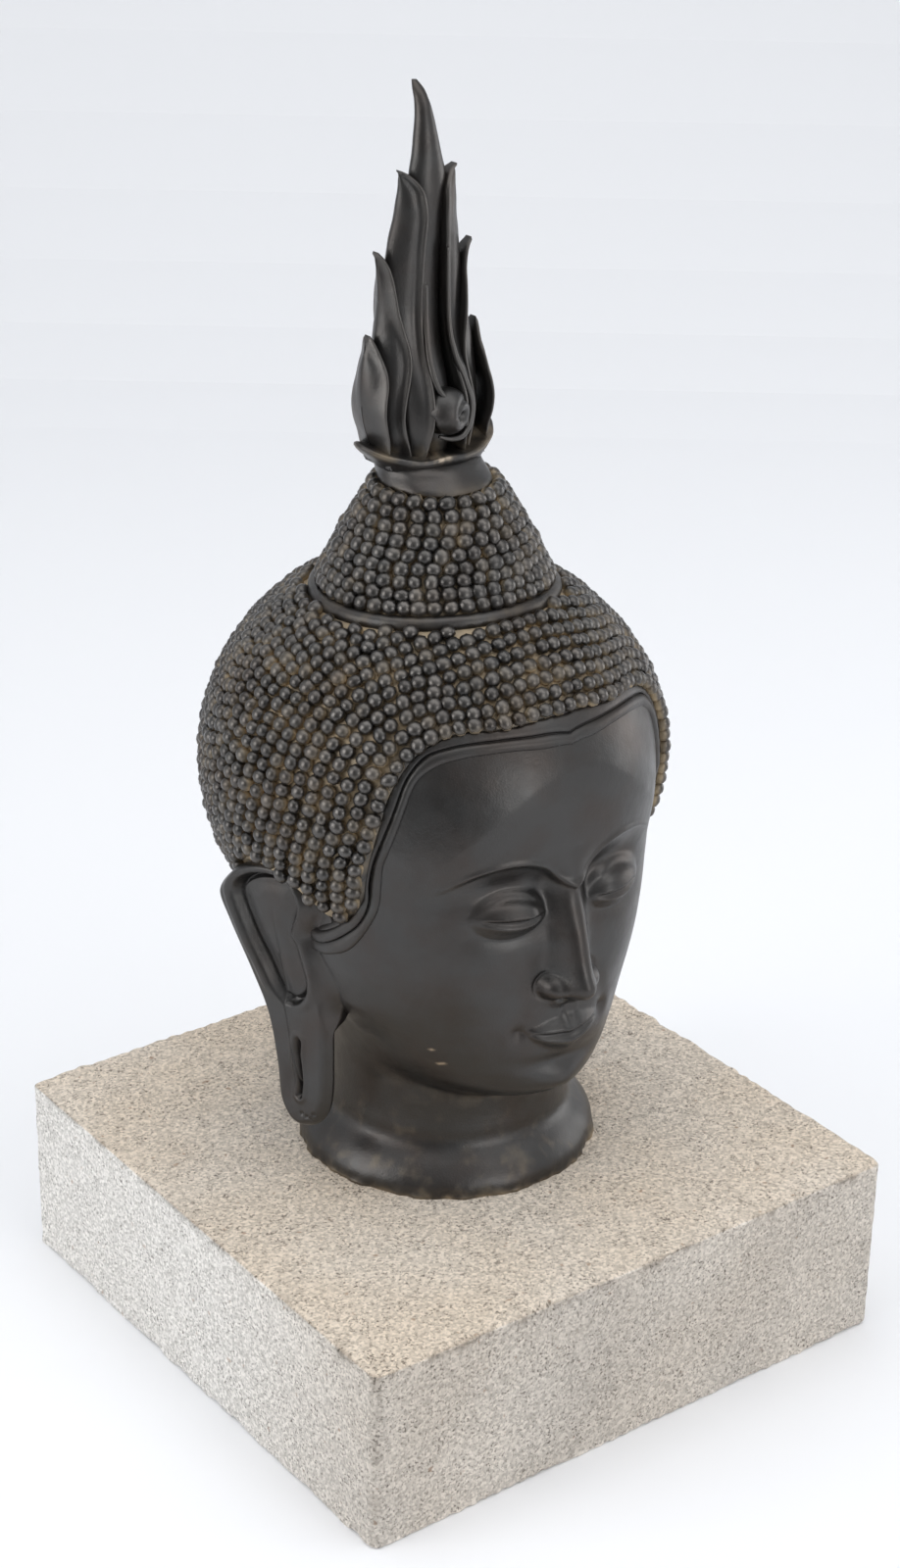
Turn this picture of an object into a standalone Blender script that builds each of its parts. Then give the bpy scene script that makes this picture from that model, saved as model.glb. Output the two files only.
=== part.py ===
"""A bronze Buddha head with a flame finial, standing on a square granite plinth.

Units are metres, +Z is up and the face looks along -Y. The origin is the centre of the plinth's underside.
The head is free form, so its shape is drawn in head units, of which there are HEAD_UNITS in the head's
height. The flame is drawn in the same way, in flame units.
"""

import bmesh
import bpy
import numpy as np
from mathutils import Vector

# Driving sizes
PLINTH_SIDE = 0.400
PLINTH_HEIGHT = 0.124
PLINTH_ARRIS = 0.0025
PLINTH_CORNER = 0.006
SEAT_GAP = 0.0003
HEAD_HEIGHT = 0.436
FLAME_HEIGHT = 0.2335
FLAME_LEAN_BACK = 0.013
COLLAR_RADIUS = 0.0345
COLLAR_HEIGHT = 0.014
COLLAR_SIDES = 24

# The head's own units
HEAD_UNITS = 436.0
HEAD_UNIT = HEAD_HEIGHT / HEAD_UNITS
HEAD_FOOT = PLINTH_HEIGHT + SEAT_GAP

# Hair cap: an ellipsoid, and the knob-shaped curls on it
CAP_RADII = np.array((139.0, 150.0, 133.0))
CAP_CENTRE = np.array((0.0, 21.0, 255.0))
TEMPLE_FLATTENING = 0.035
CURL_HEIGHT = 5.0
CURL_ROWS = 24
CURL_COLUMNS = 58
SKIN_UNDER_HAIR = 2.0
SKULL_DRAW = 0.12
SKULL_DRAW_REACH = 16.0
CAP_TUCK = 15.0
UNDERCUT = 0.05
BAND_THICKNESS = 4.5
BAND_POINTS = 37

# Hairline: angle round the front axis from the top, and angle away from it, in degrees
HAIRLINE_TURN = (0, 18, 29, 37.5, 47, 53, 62, 72, 80, 88, 96, 103, 111, 117, 121, 125, 132, 145, 162, 180)
HAIRLINE_SPREAD = (
    29, 32, 35.3, 39.3, 44.7, 47.7, 49.5, 50.2, 51.2, 53, 55, 56.8, 58.8, 62, 67.5, 75.5, 86, 100, 112, 117,
)
BAND_END = 122

# Ushnisha: the cone of curls on the crown, about its own axis behind the head's
USHNISHA_Y = 25.0
USHNISHA_FOOT_RADIUS = 72.0
USHNISHA_TOP_RADIUS = 37.0
USHNISHA_ROWS = 9
USHNISHA_COLUMNS = 40

# Skin stations: height, half width, depth in front, depth behind
SKIN = np.array((
    (62, 40, 60, 40),
    (68, 50, 84, 48),
    (74, 60, 98, 56),
    (82, 70, 106, 66),
    (94, 79, 110, 76),
    (108, 87, 111, 81),
    (125, 95, 111, 88),
    (153, 104, 113, 106),
    (185, 111, 115, 130),
    (217, 115, 116, 150),
    (235, 117, 118, 158),
    (260, 120, 120, 166),
    (290, 122, 119, 164),
    (318, 122, 112, 152),
    (345, 104, 92, 128),
    (368, 72, 56, 92),
))
FACE_SQUARENESS = 2.25

# Neck stations: height, radius. It stands a little behind the axis
NECK = np.array(((0, 97), (9, 95), (19, 88), (26, 81), (40, 78), (70, 78), (110, 79), (140, 70), (160, 40)))
NECK_Y = 4.0
BLEND_POWER = 14.0

# Face heights, in thirds from the hairline's middle to the chin
FACE_TOP = 318.0
CHIN = 70.0
THIRD = (FACE_TOP - CHIN) / 3
BROW = FACE_TOP - THIRD
NOSE_BASE = BROW - THIRD
MOUTH = NOSE_BASE - THIRD / 3
EYE = BROW - THIRD * 0.22
EYE_X = 39.0
FACE_COLUMNS = 40

# Ear: outline and hollow on a slanted plate, as (back, up) points from the top of its front edge
EAR_OUTLINE = (
    (-14, 196), (-6, 210), (8, 218), (30, 215), (44, 205), (55, 188), (45, 168), (30, 140), (19, 114),
    (15, 80), (12, 55), (8, 44), (-5, 40), (-17, 52), (-24, 72), (-23, 100), (-19, 126), (-14, 152),
)
EAR_HOLLOW = (
    (2, 203), (26, 209), (45, 196), (45, 184), (34, 161), (19, 142), (3, 126), (-6, 142), (-3, 162),
    (3, 178), (0, 193),
)
EAR_FRONT = -40.0
EAR_FRONT_X = 106.0
EAR_SLANT = 0.34
EAR_THICKNESS = 11.0
EAR_POINTS = 28
EAR_SINK = 7.0
EAR_SPINE = ((14, 190), (-4, 66))
LOBE_SLIT = ((-2, 102), (-3, 63))

# Flame: its units, and its leaves. Each has an outline and a spine to its edge, and a half depth
FLAME_UNITS = 233.5
FLAME_UNIT = FLAME_HEIGHT / FLAME_UNITS
FLAME_CURL_HEIGHTS = (0, 60, 100, 140, 185, 205, 223, 234)
FLAME_CURL = (0, 2, 5, 4, 3, 3.5, 7, 15)
CENTRE_LEAF = (
    (-1.5, 234), (-4.5, 223), (-8, 203), (-12, 184), (-14, 150), (-14, 100), (-12, 40), (0, 12), (12, 40),
    (14, 100), (14, 150), (12, 184), (8, 203), (4.5, 223), (1.5, 234),
)
UPPER_LEAF = (
    (20, 186), (15, 184), (6, 174), (0, 156), (2, 130), (6, 100), (0, 60), (4, 18), (26, 18), (30, 55),
    (30, 95), (27, 130), (22, 157), (20.5, 174),
)
MIDDLE_LEAF = (
    (34, 139), (28, 135), (18, 120), (14, 100), (10, 75), (9, 45), (10, 18), (31, 16), (37, 50),
    (37, 80), (33.5, 100), (32.5, 123),
)
OUTER_LEAF = (
    (40, 91), (34, 87), (29, 74), (25, 50), (26, 20), (40, 20), (45, 38), (46.5, 54), (44, 75),
)
FLAME_LEAVES = (
    ("centre", CENTRE_LEAF, ((0, 30), (0, 205)), 12.0),
    ("upper", UPPER_LEAF, ((14, 34), (15, 165)), 15.0),
    ("middle", MIDDLE_LEAF, ((20, 30), (25, 118)), 16.5),
    ("outer", OUTER_LEAF, ((33, 30), (35, 70)), 17.0),
)
LEAF_EDGE = 2.5
LEAF_POINTS = 15
FLANGE_HALF_WIDTH = 48.0
FLANGE_HALF_DEPTH = 31.0
FLANGE_BOTTOM = 9.0
FLANGE_TOP = 19.0
FLANGE_SIDES = 20
FLANGE_POINTS_LIFT = 9.0
BOSS_RADIUS = 13.5
BOSS_HEIGHT = 46.0
BOSS_Y = -21.0


def clear_scene():
    for item in list(bpy.data.objects):
        bpy.data.objects.remove(item)


def new_collection(name):
    made = bpy.data.collections.new(name)
    bpy.context.scene.collection.children.link(made)
    return made


def material(name, colour, roughness, metallic):
    made = bpy.data.materials.new(name)
    made.use_nodes = True
    shader = made.node_tree.nodes["Principled BSDF"]
    shader.inputs["Base Color"].default_value = (*colour, 1)
    shader.inputs["Roughness"].default_value = roughness
    shader.inputs["Metallic"].default_value = metallic
    made.diffuse_color = (*colour, 1)
    return made


def mesh_object(name, points, faces, collection):
    mesh = bpy.data.meshes.new(name)
    mesh.from_pydata([tuple(point) for point in points], [], faces)
    made = bpy.data.objects.new(name, mesh)
    collection.objects.link(made)
    shell = bmesh.new()
    shell.from_mesh(mesh)
    bmesh.ops.recalc_face_normals(shell, faces=shell.faces)
    shell.to_mesh(mesh)
    shell.free()
    return made


def smooth_through(at, knots, values):
    """A smooth curve through values at knots: cubic pieces with the mean slope of their neighbours."""
    knots, values = np.asarray(knots, float), np.asarray(values, float)
    slopes = np.gradient(values, knots, axis=0)
    at = np.clip(at, knots[0], knots[-1])
    left = np.clip(np.searchsorted(knots, at, side="right") - 1, 0, len(knots) - 2)
    step = knots[left + 1] - knots[left]
    t = (at - knots[left]) / step
    if values.ndim > 1:
        t, step = t[..., None], step[..., None]
    start = values[left] * (1 + 2 * t) * (1 - t) ** 2 + slopes[left] * step * t * (1 - t) ** 2
    return start + values[left + 1] * t**2 * (3 - 2 * t) - slopes[left + 1] * step * t**2 * (1 - t)


def closed_curve(points, count):
    """Points spaced evenly by number along a smooth closed curve through the given ones."""
    points = np.array(points, float)
    around = np.concatenate((points[-3:], points, points[:3]))
    knots = np.arange(len(around)) - 3.0
    return smooth_through(np.arange(count) * len(points) / count, knots, around)


def loft(rings, knobbed=None):
    """Points and faces of a closed shell over rings of points, each end closed with a fan on its middle.

    knobbed tells, ring by ring, which points are knobs. No edge then runs from knob to knob.
    """
    points = [point for ring in rings for point in ring]
    starts = np.cumsum([0] + [len(ring) for ring in rings])
    faces = []
    for k in range(len(rings) - 1):
        knobs = knobbed[k] if knobbed and len(rings[k]) == len(rings[k + 1]) else None
        faces += strip(starts[k], len(rings[k]), starts[k + 1], len(rings[k + 1]), knobs)
    for ring, start, way in ((rings[0], starts[0], -1), (rings[-1], starts[-2], 1)):
        middle = len(points)
        points.append(np.mean(ring, axis=0))
        for i in range(len(ring)):
            faces.append((start + i, start + (i + 1) % len(ring), middle)[::way])
    return points, faces


def strip(first, first_count, second, second_count, knobs=None):
    """Triangles between two closed rings, which may hold different numbers of points."""
    faces = []
    if knobs is not None:
        for i in range(first_count):
            after = (i + 1) % first_count
            a, b, c, d = first + i, first + after, second + after, second + i
            faces += [(a, b, d), (b, c, d)] if knobs[i] else [(a, b, c), (a, c, d)]
        return faces
    i = j = 0
    while i < first_count or j < second_count:
        a, b = first + i % first_count, second + j % second_count
        if j == second_count or (i < first_count and (i + 1) * second_count <= (j + 1) * first_count):
            i += 1
            faces.append((a, first + i % first_count, b))
        else:
            j += 1
            faces.append((a, second + j % second_count, b))
    return faces


def tube(path, radius, sides):
    """A round tube along a path. Its rings stand square to the path, with one corner outwards."""
    along = np.gradient(path, axis=0)
    along /= np.linalg.norm(along, axis=1)[:, None]
    out = path - CAP_CENTRE
    out -= along * np.sum(out * along, axis=1)[:, None]
    out /= np.linalg.norm(out, axis=1)[:, None]
    side = np.cross(along, out)
    turns = np.arange(sides) * 2 * np.pi / sides
    rings = [
        [path[k] + radius * (out[k] * np.cos(turn) + side[k] * np.sin(turn)) for turn in turns]
        for k in range(len(path))
    ]
    return loft(rings)


def to_world(points):
    """Head units, from the middle of the neck's foot, as metres from the plinth's underside."""
    return np.array(points) * HEAD_UNIT + np.array((0, 0, HEAD_FOOT))


def cap_radius(turn, height):
    """Distance from the head's axis to the base of the curls, at an angle from the front and a height."""
    level = np.clip(1 - ((height - CAP_CENTRE[2]) / CAP_RADII[2]) ** 2, 0.02, None) ** 0.5
    wide, deep = CAP_RADII[0] * level, CAP_RADII[1] * level
    across, ahead = np.sin(turn) / wide, np.cos(turn) / deep
    offset = CAP_CENTRE[1] / deep
    square = across**2 + ahead**2
    inner = (ahead * offset) ** 2 - square * (offset**2 - 1)
    radius = (-ahead * offset + np.clip(inner, 0, None) ** 0.5) / square
    return radius * temple_width(-np.cos(turn), (height - CAP_CENTRE[2]) / CAP_RADII[2])


def temple_width(back, up):
    """Share of its width that the cap keeps at a direction from its centre: a little less at the temples."""
    low = np.clip((0.55 - up) / 0.5, 0, 1)
    return 1 - TEMPLE_FLATTENING * np.exp(-(((back + 0.6) / 0.35) ** 2)) * low**2 * (3 - 2 * low)


def skin_radius(turn, height):
    """Distance from the head's axis to the skin: face and neck blended, and kept under the hair above."""
    wide, front, back = smooth_through(height, SKIN[:, 0], SKIN[:, 1:]).T
    deep = np.where(np.cos(turn) > 0, front, back)
    power = np.where(np.cos(turn) > 0, FACE_SQUARENESS, 2.0)
    face = ((np.abs(np.sin(turn)) / wide) ** power + (np.abs(np.cos(turn)) / deep) ** power) ** (-1 / power)
    neck = smooth_through(height, NECK[:, 0], NECK[:, 1]) - NECK_Y * np.cos(turn)
    under = height < SKIN[0, 0]
    face = np.where(under, 1.0, face)
    neck = np.where(height > NECK[-1, 0], 1.0, neck)
    blended = (face**BLEND_POWER + neck**BLEND_POWER) ** (1 / BLEND_POWER)
    hair = cap_radius(turn, height) - SKIN_UNDER_HAIR
    return np.where(height > EYE, np.minimum(blended, hair), blended)


def bump(x, z, x_middle, z_middle, x_reach, z_reach):
    return np.exp(-(((x - x_middle) / x_reach) ** 2) - ((z - z_middle) / z_reach) ** 2)


def both_sides(x):
    return np.abs(x)


def nose(x, z):
    heights = (NOSE_BASE - 8, NOSE_BASE - 1, NOSE_BASE + 8, NOSE_BASE + 34, EYE + 4, BROW + 12)
    ridge = smooth_through(z, heights, (0, 13, 24, 17, 7, 0))
    reach = smooth_through(z, (NOSE_BASE - 8, NOSE_BASE + 10, NOSE_BASE + 40, BROW + 12), (12, 12, 9, 10))
    wings = 10 * bump(both_sides(x), z, 13, NOSE_BASE + 6, 6.5, 7)
    return ridge * np.exp(-np.abs(x / reach) ** 2.2) + wings


def eyes(x, z):
    side = both_sides(x)
    socket = -8.5 * bump(side, z, EYE_X, EYE + 6, 25, 14)
    lid = 9 * bump(side, z, EYE_X, EYE - 2, 18, 10)
    slit_height = EYE - 7 + 4 * ((side - EYE_X) / 18) ** 2
    slit = -2 * np.exp(-(((z - slit_height) / 3) ** 2) - ((side - EYE_X) / 17) ** 4)
    return socket + lid + slit


def brows(x, z):
    side = both_sides(x)
    rise = smooth_through(side, (0, 8, 22, 42, 62, 80), (-8, -3, 8, 12, 6, -6))
    arch = BROW + rise
    return 2.6 * np.exp(-(((z - arch) / 3.5) ** 2) - (side / 70) ** 6)


def mouth(x, z):
    side = both_sides(x)
    muzzle = 7 * bump(x, z, 0, MOUTH, 36, 27)
    line = MOUTH + 5 * (side / 30) ** 2 - 1
    upper = 6 * np.exp(-(((z - line - 5) / 4.5) ** 2) - (side / 25) ** 4)
    lower = 7 * np.exp(-(((z - line + 7) / 6) ** 2) - (side / 19) ** 4)
    corner = -3.5 * bump(side, z, 31, MOUTH + 4, 7, 7)
    groove = -2.5 * np.exp(-(((z - line) / 2.5) ** 2) - (side / 29) ** 6)
    return muzzle + upper + lower + corner + groove


def chin(x, z):
    return 6 * bump(x, z, 0, CHIN + 20, 24, 14) - 3 * bump(x, z, 0, CHIN + 36, 20, 6)


def cheeks(x, z):
    return 3 * bump(both_sides(x), z, 55, NOSE_BASE + 18, 26, 30)


def skin_points(turn, height):
    radius = skin_radius(turn, height)
    x, y = radius * np.sin(turn), -radius * np.cos(turn)
    ahead = np.clip(np.cos(turn) * 1.6, 0, 1) ** 1.5
    relief = nose(x, height) + eyes(x, height) + brows(x, height) + mouth(x, height)
    relief += chin(x, height) + cheeks(x, height)
    return sunk_under_hair(np.stack((x, y - relief * ahead, height), axis=-1))


def sunk_under_hair(points):
    """The skull drawn in where the hair covers it, so that skin and hair meet only along the hairline."""
    ray = (points - CAP_CENTRE) / CAP_RADII
    turn = np.arctan2(-ray[:, 0], ray[:, 2])
    spread = np.arccos(-ray[:, 1] / np.linalg.norm(ray, axis=1))
    covered = (spread - hairline_spread(turn)) * CAP_RADII[0] - BAND_THICKNESS
    draw = SKULL_DRAW * np.clip(covered / SKULL_DRAW_REACH, 0, 1)
    return CAP_CENTRE + (points - CAP_CENTRE) * (1 - draw[:, None])


def skin_shell(collection):
    """Neck, face and the skull under the hair: rings at rising heights, with more points in front."""
    even = np.arange(FACE_COLUMNS) * 2 * np.pi / FACE_COLUMNS
    turns = even - 0.55 * np.sin(even)
    heights = np.concatenate((
        (0, 9, 18, 25, 36, 48, 57),
        np.arange(63, 92, 4.8),
        np.arange(93, FACE_TOP - 60, 7.1),
        np.arange(FACE_TOP - 58, FACE_TOP + 52, 12),
    ))
    rings = [skin_points(turns, np.full(FACE_COLUMNS, float(height))) for height in heights]
    points, faces = loft(rings)
    return mesh_object("skin", to_world(points), faces, collection)


def hairline_spread(turn):
    """The hairline's angle away from the front axis, in radians, at an angle round it from the top."""
    degrees = np.degrees(np.abs((turn + np.pi) % (2 * np.pi) - np.pi))
    return np.radians(smooth_through(degrees, HAIRLINE_TURN, HAIRLINE_SPREAD))


def on_cap(turn, spread, proud=0.0):
    """A point of the cap, at an angle round the front axis and an angle away from it."""
    ray = np.stack((-np.sin(spread) * np.sin(turn), -np.cos(spread), np.sin(spread) * np.cos(turn)), axis=-1)
    proud = np.asarray(proud)
    ray[..., 0] *= temple_width(ray[..., 1], ray[..., 2])
    return CAP_CENTRE + ray * (CAP_RADII + proud[..., None])


def hair_cap(collection):
    """Rows of curls along the hairline that close in on a point at the back, every other point a knob."""
    turns = np.arange(CURL_COLUMNS) * 2 * np.pi / CURL_COLUMNS
    rings = [on_cap(turns, hairline_spread(turns) - UNDERCUT, np.full(CURL_COLUMNS, -CAP_TUCK))]
    knobbed = [np.zeros(CURL_COLUMNS, bool)]
    for row in range(CURL_ROWS):
        share = row / CURL_ROWS
        count = CURL_COLUMNS if share < 0.5 else CURL_COLUMNS * 2 // 3 if share < 0.8 else CURL_COLUMNS // 3
        turns = np.arange(count) * 2 * np.pi / count
        start = hairline_spread(turns)
        knobs = (np.arange(count) + row) % 2 == 1
        rings.append(on_cap(turns, start + (np.pi - start) * share, knobs * CURL_HEIGHT * min(row, 1)))
        knobbed.append(knobs)
    points, faces = loft(rings, knobbed)
    return mesh_object("hair_cap", to_world(points), faces, collection)


def hairline_band(collection):
    """The smooth raised band between the skin and the first row of curls, from ear to ear."""
    turns = np.radians(np.linspace(-BAND_END, BAND_END, BAND_POINTS))
    path = on_cap(turns, hairline_spread(turns) - 0.02, np.full(BAND_POINTS, -BAND_THICKNESS * 0.5))
    points, faces = tube(path, BAND_THICKNESS, 4)
    return mesh_object("hairline_band", to_world(points), faces, collection)


def cap_height(x, y):
    inside = 1 - (x / CAP_RADII[0]) ** 2 - ((y - CAP_CENTRE[1]) / CAP_RADII[1]) ** 2
    return CAP_CENTRE[2] + CAP_RADII[2] * inside**0.5


def ushnisha(collection):
    """The cone of curls, each row turned by one, over its smooth base band, which follows the cap."""
    turns = np.arange(USHNISHA_COLUMNS) * 2 * np.pi / USHNISHA_COLUMNS

    def ring(radius, height):
        x, y = radius * np.sin(turns), USHNISHA_Y - radius * np.cos(turns)
        return np.stack((x, y, 0 * turns + height), axis=1)

    edge = ring(USHNISHA_FOOT_RADIUS, 0)
    foot = cap_height(edge[:, 0], edge[:, 1])
    band = ((-4, -22), (5, -4), (5.5, 2), (2, 5), (-3, 4))
    rings = [ring(USHNISHA_FOOT_RADIUS + out, foot + up) for out, up in band]
    knobbed = [np.zeros(USHNISHA_COLUMNS, bool)] * len(band)
    for row in range(1, USHNISHA_ROWS + 1):
        share = row / USHNISHA_ROWS
        radius = USHNISHA_TOP_RADIUS + (USHNISHA_FOOT_RADIUS - USHNISHA_TOP_RADIUS) * (1 - share) ** 0.86
        height = foot + 3 + (HEAD_UNITS - 5 - foot) * share
        knobs = (np.arange(USHNISHA_COLUMNS) + row) % 2 == 1
        rings.append(ring(radius - 3 + knobs * CURL_HEIGHT, height))
        knobbed.append(knobs)
    rings.append(ring(USHNISHA_TOP_RADIUS - 2, HEAD_UNITS))
    knobbed.append(np.zeros(USHNISHA_COLUMNS, bool))
    points, faces = loft(rings, knobbed)
    return mesh_object("ushnisha", to_world(points), faces, collection)


def distance_to_line(points, line, closed):
    """Least distance from each point to a line of straight pieces."""
    line = np.array(line, float)
    ends = np.roll(line, -1, axis=0) if closed else line[1:]
    starts = line if closed else line[:-1]
    along = ends - starts
    share = np.sum((points[:, None] - starts) * along, axis=-1) / np.sum(along**2, axis=-1)
    nearest = starts + np.clip(share, 0, 1)[..., None] * along
    return np.linalg.norm(points[:, None] - nearest, axis=-1).min(axis=1)


def inside_outline(points, outline):
    """Whether each point is inside a closed outline, by counting the crossings of a level ray."""
    a, b = outline, np.roll(outline, -1, axis=0)
    y, z = points[:, None, 0], points[:, None, 1]
    spans = (a[:, 1] > z) != (b[:, 1] > z)
    rise = np.where(np.abs(b[:, 1] - a[:, 1]) < 1e-9, 1e-9, b[:, 1] - a[:, 1])
    crossing = a[:, 0] + (z - a[:, 1]) / rise * (b[:, 0] - a[:, 0])
    return (np.sum(spans & (y < crossing), axis=1) % 2).astype(bool)


def ear_relief(flat):
    """How far the ear's outer face stands off its plate: rolled rim, sunken hollow, slit in the lobe."""
    hollow = closed_curve(EAR_HOLLOW, 60)
    to_hollow = distance_to_line(flat, hollow, True) * np.where(inside_outline(flat, hollow), 1, -1)
    sink = EAR_SINK * np.clip(to_hollow / 5 + 0.5, 0, 1)
    slit = 4 * np.exp(-((distance_to_line(flat, LOBE_SLIT, False) / 4) ** 2))
    return EAR_THICKNESS / 2 - sink - slit


def ear(collection, side):
    """One ear: its outline drawn in on itself in rings, for a domed edge, and raised by its relief."""
    outline = closed_curve(EAR_OUTLINE, EAR_POINTS)
    spine = spine_points(outline, EAR_SPINE)

    def ring(inward, face):
        flat = spine + (outline - spine) * inward
        off = ear_relief(flat) if face > 0 else np.full(len(flat), -EAR_THICKNESS / 2)
        x = EAR_FRONT_X + EAR_SLANT * (flat[:, 0] - EAR_FRONT) + off * (0.35 if inward == 1 else 1)
        return np.stack((side * x, flat[:, 0], flat[:, 1]), axis=1)

    rings = [ring(share, -1) for share in (0.3, 1.0)]
    rings += [ring(share, 1) for share in (0.97, 0.8, 0.64, 0.4, 0.1)]
    points, faces = loft(rings)
    return mesh_object("ear", to_world(points), faces, collection)


def join(target, others):
    """Unites the other closed shells with the target, one Boolean at a time."""
    for other in others:
        modifier = target.modifiers.new(other.name, "BOOLEAN")
        modifier.operation = "UNION"
        modifier.object = other
        other.hide_render = True
        other.display_type = "WIRE"
    return target


def bronze_head(part, helpers):
    head = skin_shell(part)
    head.name = "bronze_head"
    pieces = [hair_cap(helpers), ushnisha(helpers), hairline_band(helpers)]
    pieces += [ear(helpers, -1), ear(helpers, 1)]
    join(head, pieces)
    head.data.materials.append(material("bronze, dark patina", (0.020, 0.020, 0.019), 0.42, 1.0))
    return head


def granite_plinth(part):
    shell = bmesh.new()
    bmesh.ops.create_cube(shell, size=1)
    bmesh.ops.scale(shell, vec=(PLINTH_SIDE, PLINTH_SIDE, PLINTH_HEIGHT), verts=shell.verts)
    bmesh.ops.translate(shell, vec=(0, 0, PLINTH_HEIGHT / 2), verts=shell.verts)
    half = PLINTH_HEIGHT / 2
    upright = [edge for edge in shell.edges if abs((edge.verts[0].co - edge.verts[1].co).z) > half]
    bmesh.ops.bevel(shell, geom=upright, offset=PLINTH_CORNER, segments=2, profile=0.5, affect="EDGES")
    level = [edge for edge in shell.edges if len({vert.co.z > half for vert in edge.verts}) == 1]
    bmesh.ops.bevel(shell, geom=level, offset=PLINTH_ARRIS, segments=1, profile=0.5, affect="EDGES")
    mesh = bpy.data.meshes.new("granite_plinth")
    shell.to_mesh(mesh)
    shell.free()
    made = bpy.data.objects.new("granite_plinth", mesh)
    part.objects.link(made)
    mesh.materials.append(material("granite, sawn", (0.55, 0.51, 0.45), 0.85, 0.0))
    return made


def flame_place(points):
    """Flame units, from the middle of the flame's foot, as metres."""
    lean = FLAME_LEAN_BACK * np.clip(np.array(points)[:, 2] * FLAME_UNIT / COLLAR_HEIGHT, 0, 1)
    made = np.array(points) * FLAME_UNIT
    made[:, 1] += USHNISHA_Y * HEAD_UNIT + lean
    made[:, 2] += HEAD_FOOT + HEAD_HEIGHT + SEAT_GAP
    return made


def spine_points(outline, spine):
    """For each point of an outline, the point of a straight spine at its height."""
    low, high = sorted((np.array(end, float) for end in spine), key=lambda end: end[1])
    share = np.clip((outline[:, 1] - low[1]) / (high[1] - low[1]), 0, 1)[:, None]
    return low + share * (high - low)


def leaf(name, outline, spine, depth, mirror, helpers):
    """A leaf of the flame: its outline drawn in on itself in rings, thicker towards its spine."""
    outline = closed_curve(outline, LEAF_POINTS)
    middle = spine_points(outline, spine)
    rings = []
    for share, face in ((0.5, -1), (1, -LEAF_EDGE / depth), (1, LEAF_EDGE / depth), (0.5, 1)):
        flat = middle + (outline - middle) * share
        thin = np.clip(1.15 - flat[:, 1] / FLAME_UNITS, 0.3, 1)
        curl = smooth_through(flat[:, 1], FLAME_CURL_HEIGHTS, FLAME_CURL)
        rings.append(np.stack((mirror * flat[:, 0], curl + face * depth * thin, flat[:, 1]), axis=1))
    points, faces = loft(rings)
    return mesh_object(name, flame_place(points), faces, helpers)


def flame_flange(helpers):
    """The lens-shaped lip over the collar, with its two points lifted."""
    turns = np.arange(FLANGE_SIDES) * 2 * np.pi / FLANGE_SIDES
    rings = []
    levels = (FLANGE_BOTTOM - 4, FLANGE_BOTTOM, FLANGE_TOP - 3, FLANGE_TOP)
    for height, grow in zip(levels, (0.72, 0.80, 1.0, 0.9)):
        x = FLANGE_HALF_WIDTH * grow * np.cos(turns) * np.abs(np.cos(turns)) ** 0.25
        y = FLANGE_HALF_DEPTH * grow * np.sin(turns)
        lift = FLANGE_POINTS_LIFT * grow * np.abs(np.cos(turns)) ** 6
        rings.append(np.stack((x, y, height + lift), axis=1))
    points, faces = loft(rings)
    return mesh_object("flange", flame_place(points), faces, helpers)


def flame_boss(helpers):
    """The round spiral boss at the foot of the flame's front."""
    shell = bmesh.new()
    bmesh.ops.create_uvsphere(shell, u_segments=12, v_segments=7, radius=BOSS_RADIUS * FLAME_UNIT)
    place = flame_place([(0, BOSS_Y, BOSS_HEIGHT)])[0]
    bmesh.ops.translate(shell, vec=Vector(place), verts=shell.verts)
    mesh = bpy.data.meshes.new("boss")
    shell.to_mesh(mesh)
    shell.free()
    made = bpy.data.objects.new("boss", mesh)
    helpers.objects.link(made)
    return made


def flame_finial(part, helpers):
    turns = np.arange(COLLAR_SIDES) * 2 * np.pi / COLLAR_SIDES
    foot = HEAD_FOOT + HEAD_HEIGHT + SEAT_GAP
    rings = []
    for height, grow in ((0, 1.0), (0.25, 1.03), (0.6, 0.98), (1.0, 0.97)):
        radius = COLLAR_RADIUS * grow
        middle = USHNISHA_Y * HEAD_UNIT + FLAME_LEAN_BACK * height
        x, y = radius * np.sin(turns), middle - radius * np.cos(turns)
        rings.append(np.stack((x, y, 0 * turns + foot + COLLAR_HEIGHT * height), axis=1))
    points, faces = loft(rings)
    flame = mesh_object("flame_finial", points, faces, part)
    pieces = [flame_flange(helpers), flame_boss(helpers)]
    for name, outline, spine, depth in FLAME_LEAVES:
        for mirror in (1, -1) if name != "centre" else (1,):
            pieces.append(leaf(name, outline, spine, depth, mirror, helpers))
    join(flame, pieces)
    flame.data.materials.append(material("bronze, dark patina, flame", (0.022, 0.022, 0.021), 0.38, 1.0))
    return flame


def main():
    clear_scene()
    part = new_collection("buddha_head")
    helpers = new_collection("helpers")
    granite_plinth(part)
    bronze_head(part, helpers)
    flame_finial(part, helpers)
    helpers.hide_render = True


main()
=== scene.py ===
"""Looks for a bronze head with snail curls and a flame finial, on a square granite plinth.

The head and the flame are drawn in millimetres. Heights on the head are from the neck's foot, heights on the
flame from the flame's foot. The face looks along -Y, and turns round the head are from there.
"""

import bpy
import numpy as np
from bpy.props import FloatProperty, FloatVectorProperty, IntProperty, PointerProperty
from bpy.types import Operator, Panel, PropertyGroup
from mathutils import Matrix, Vector


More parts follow.
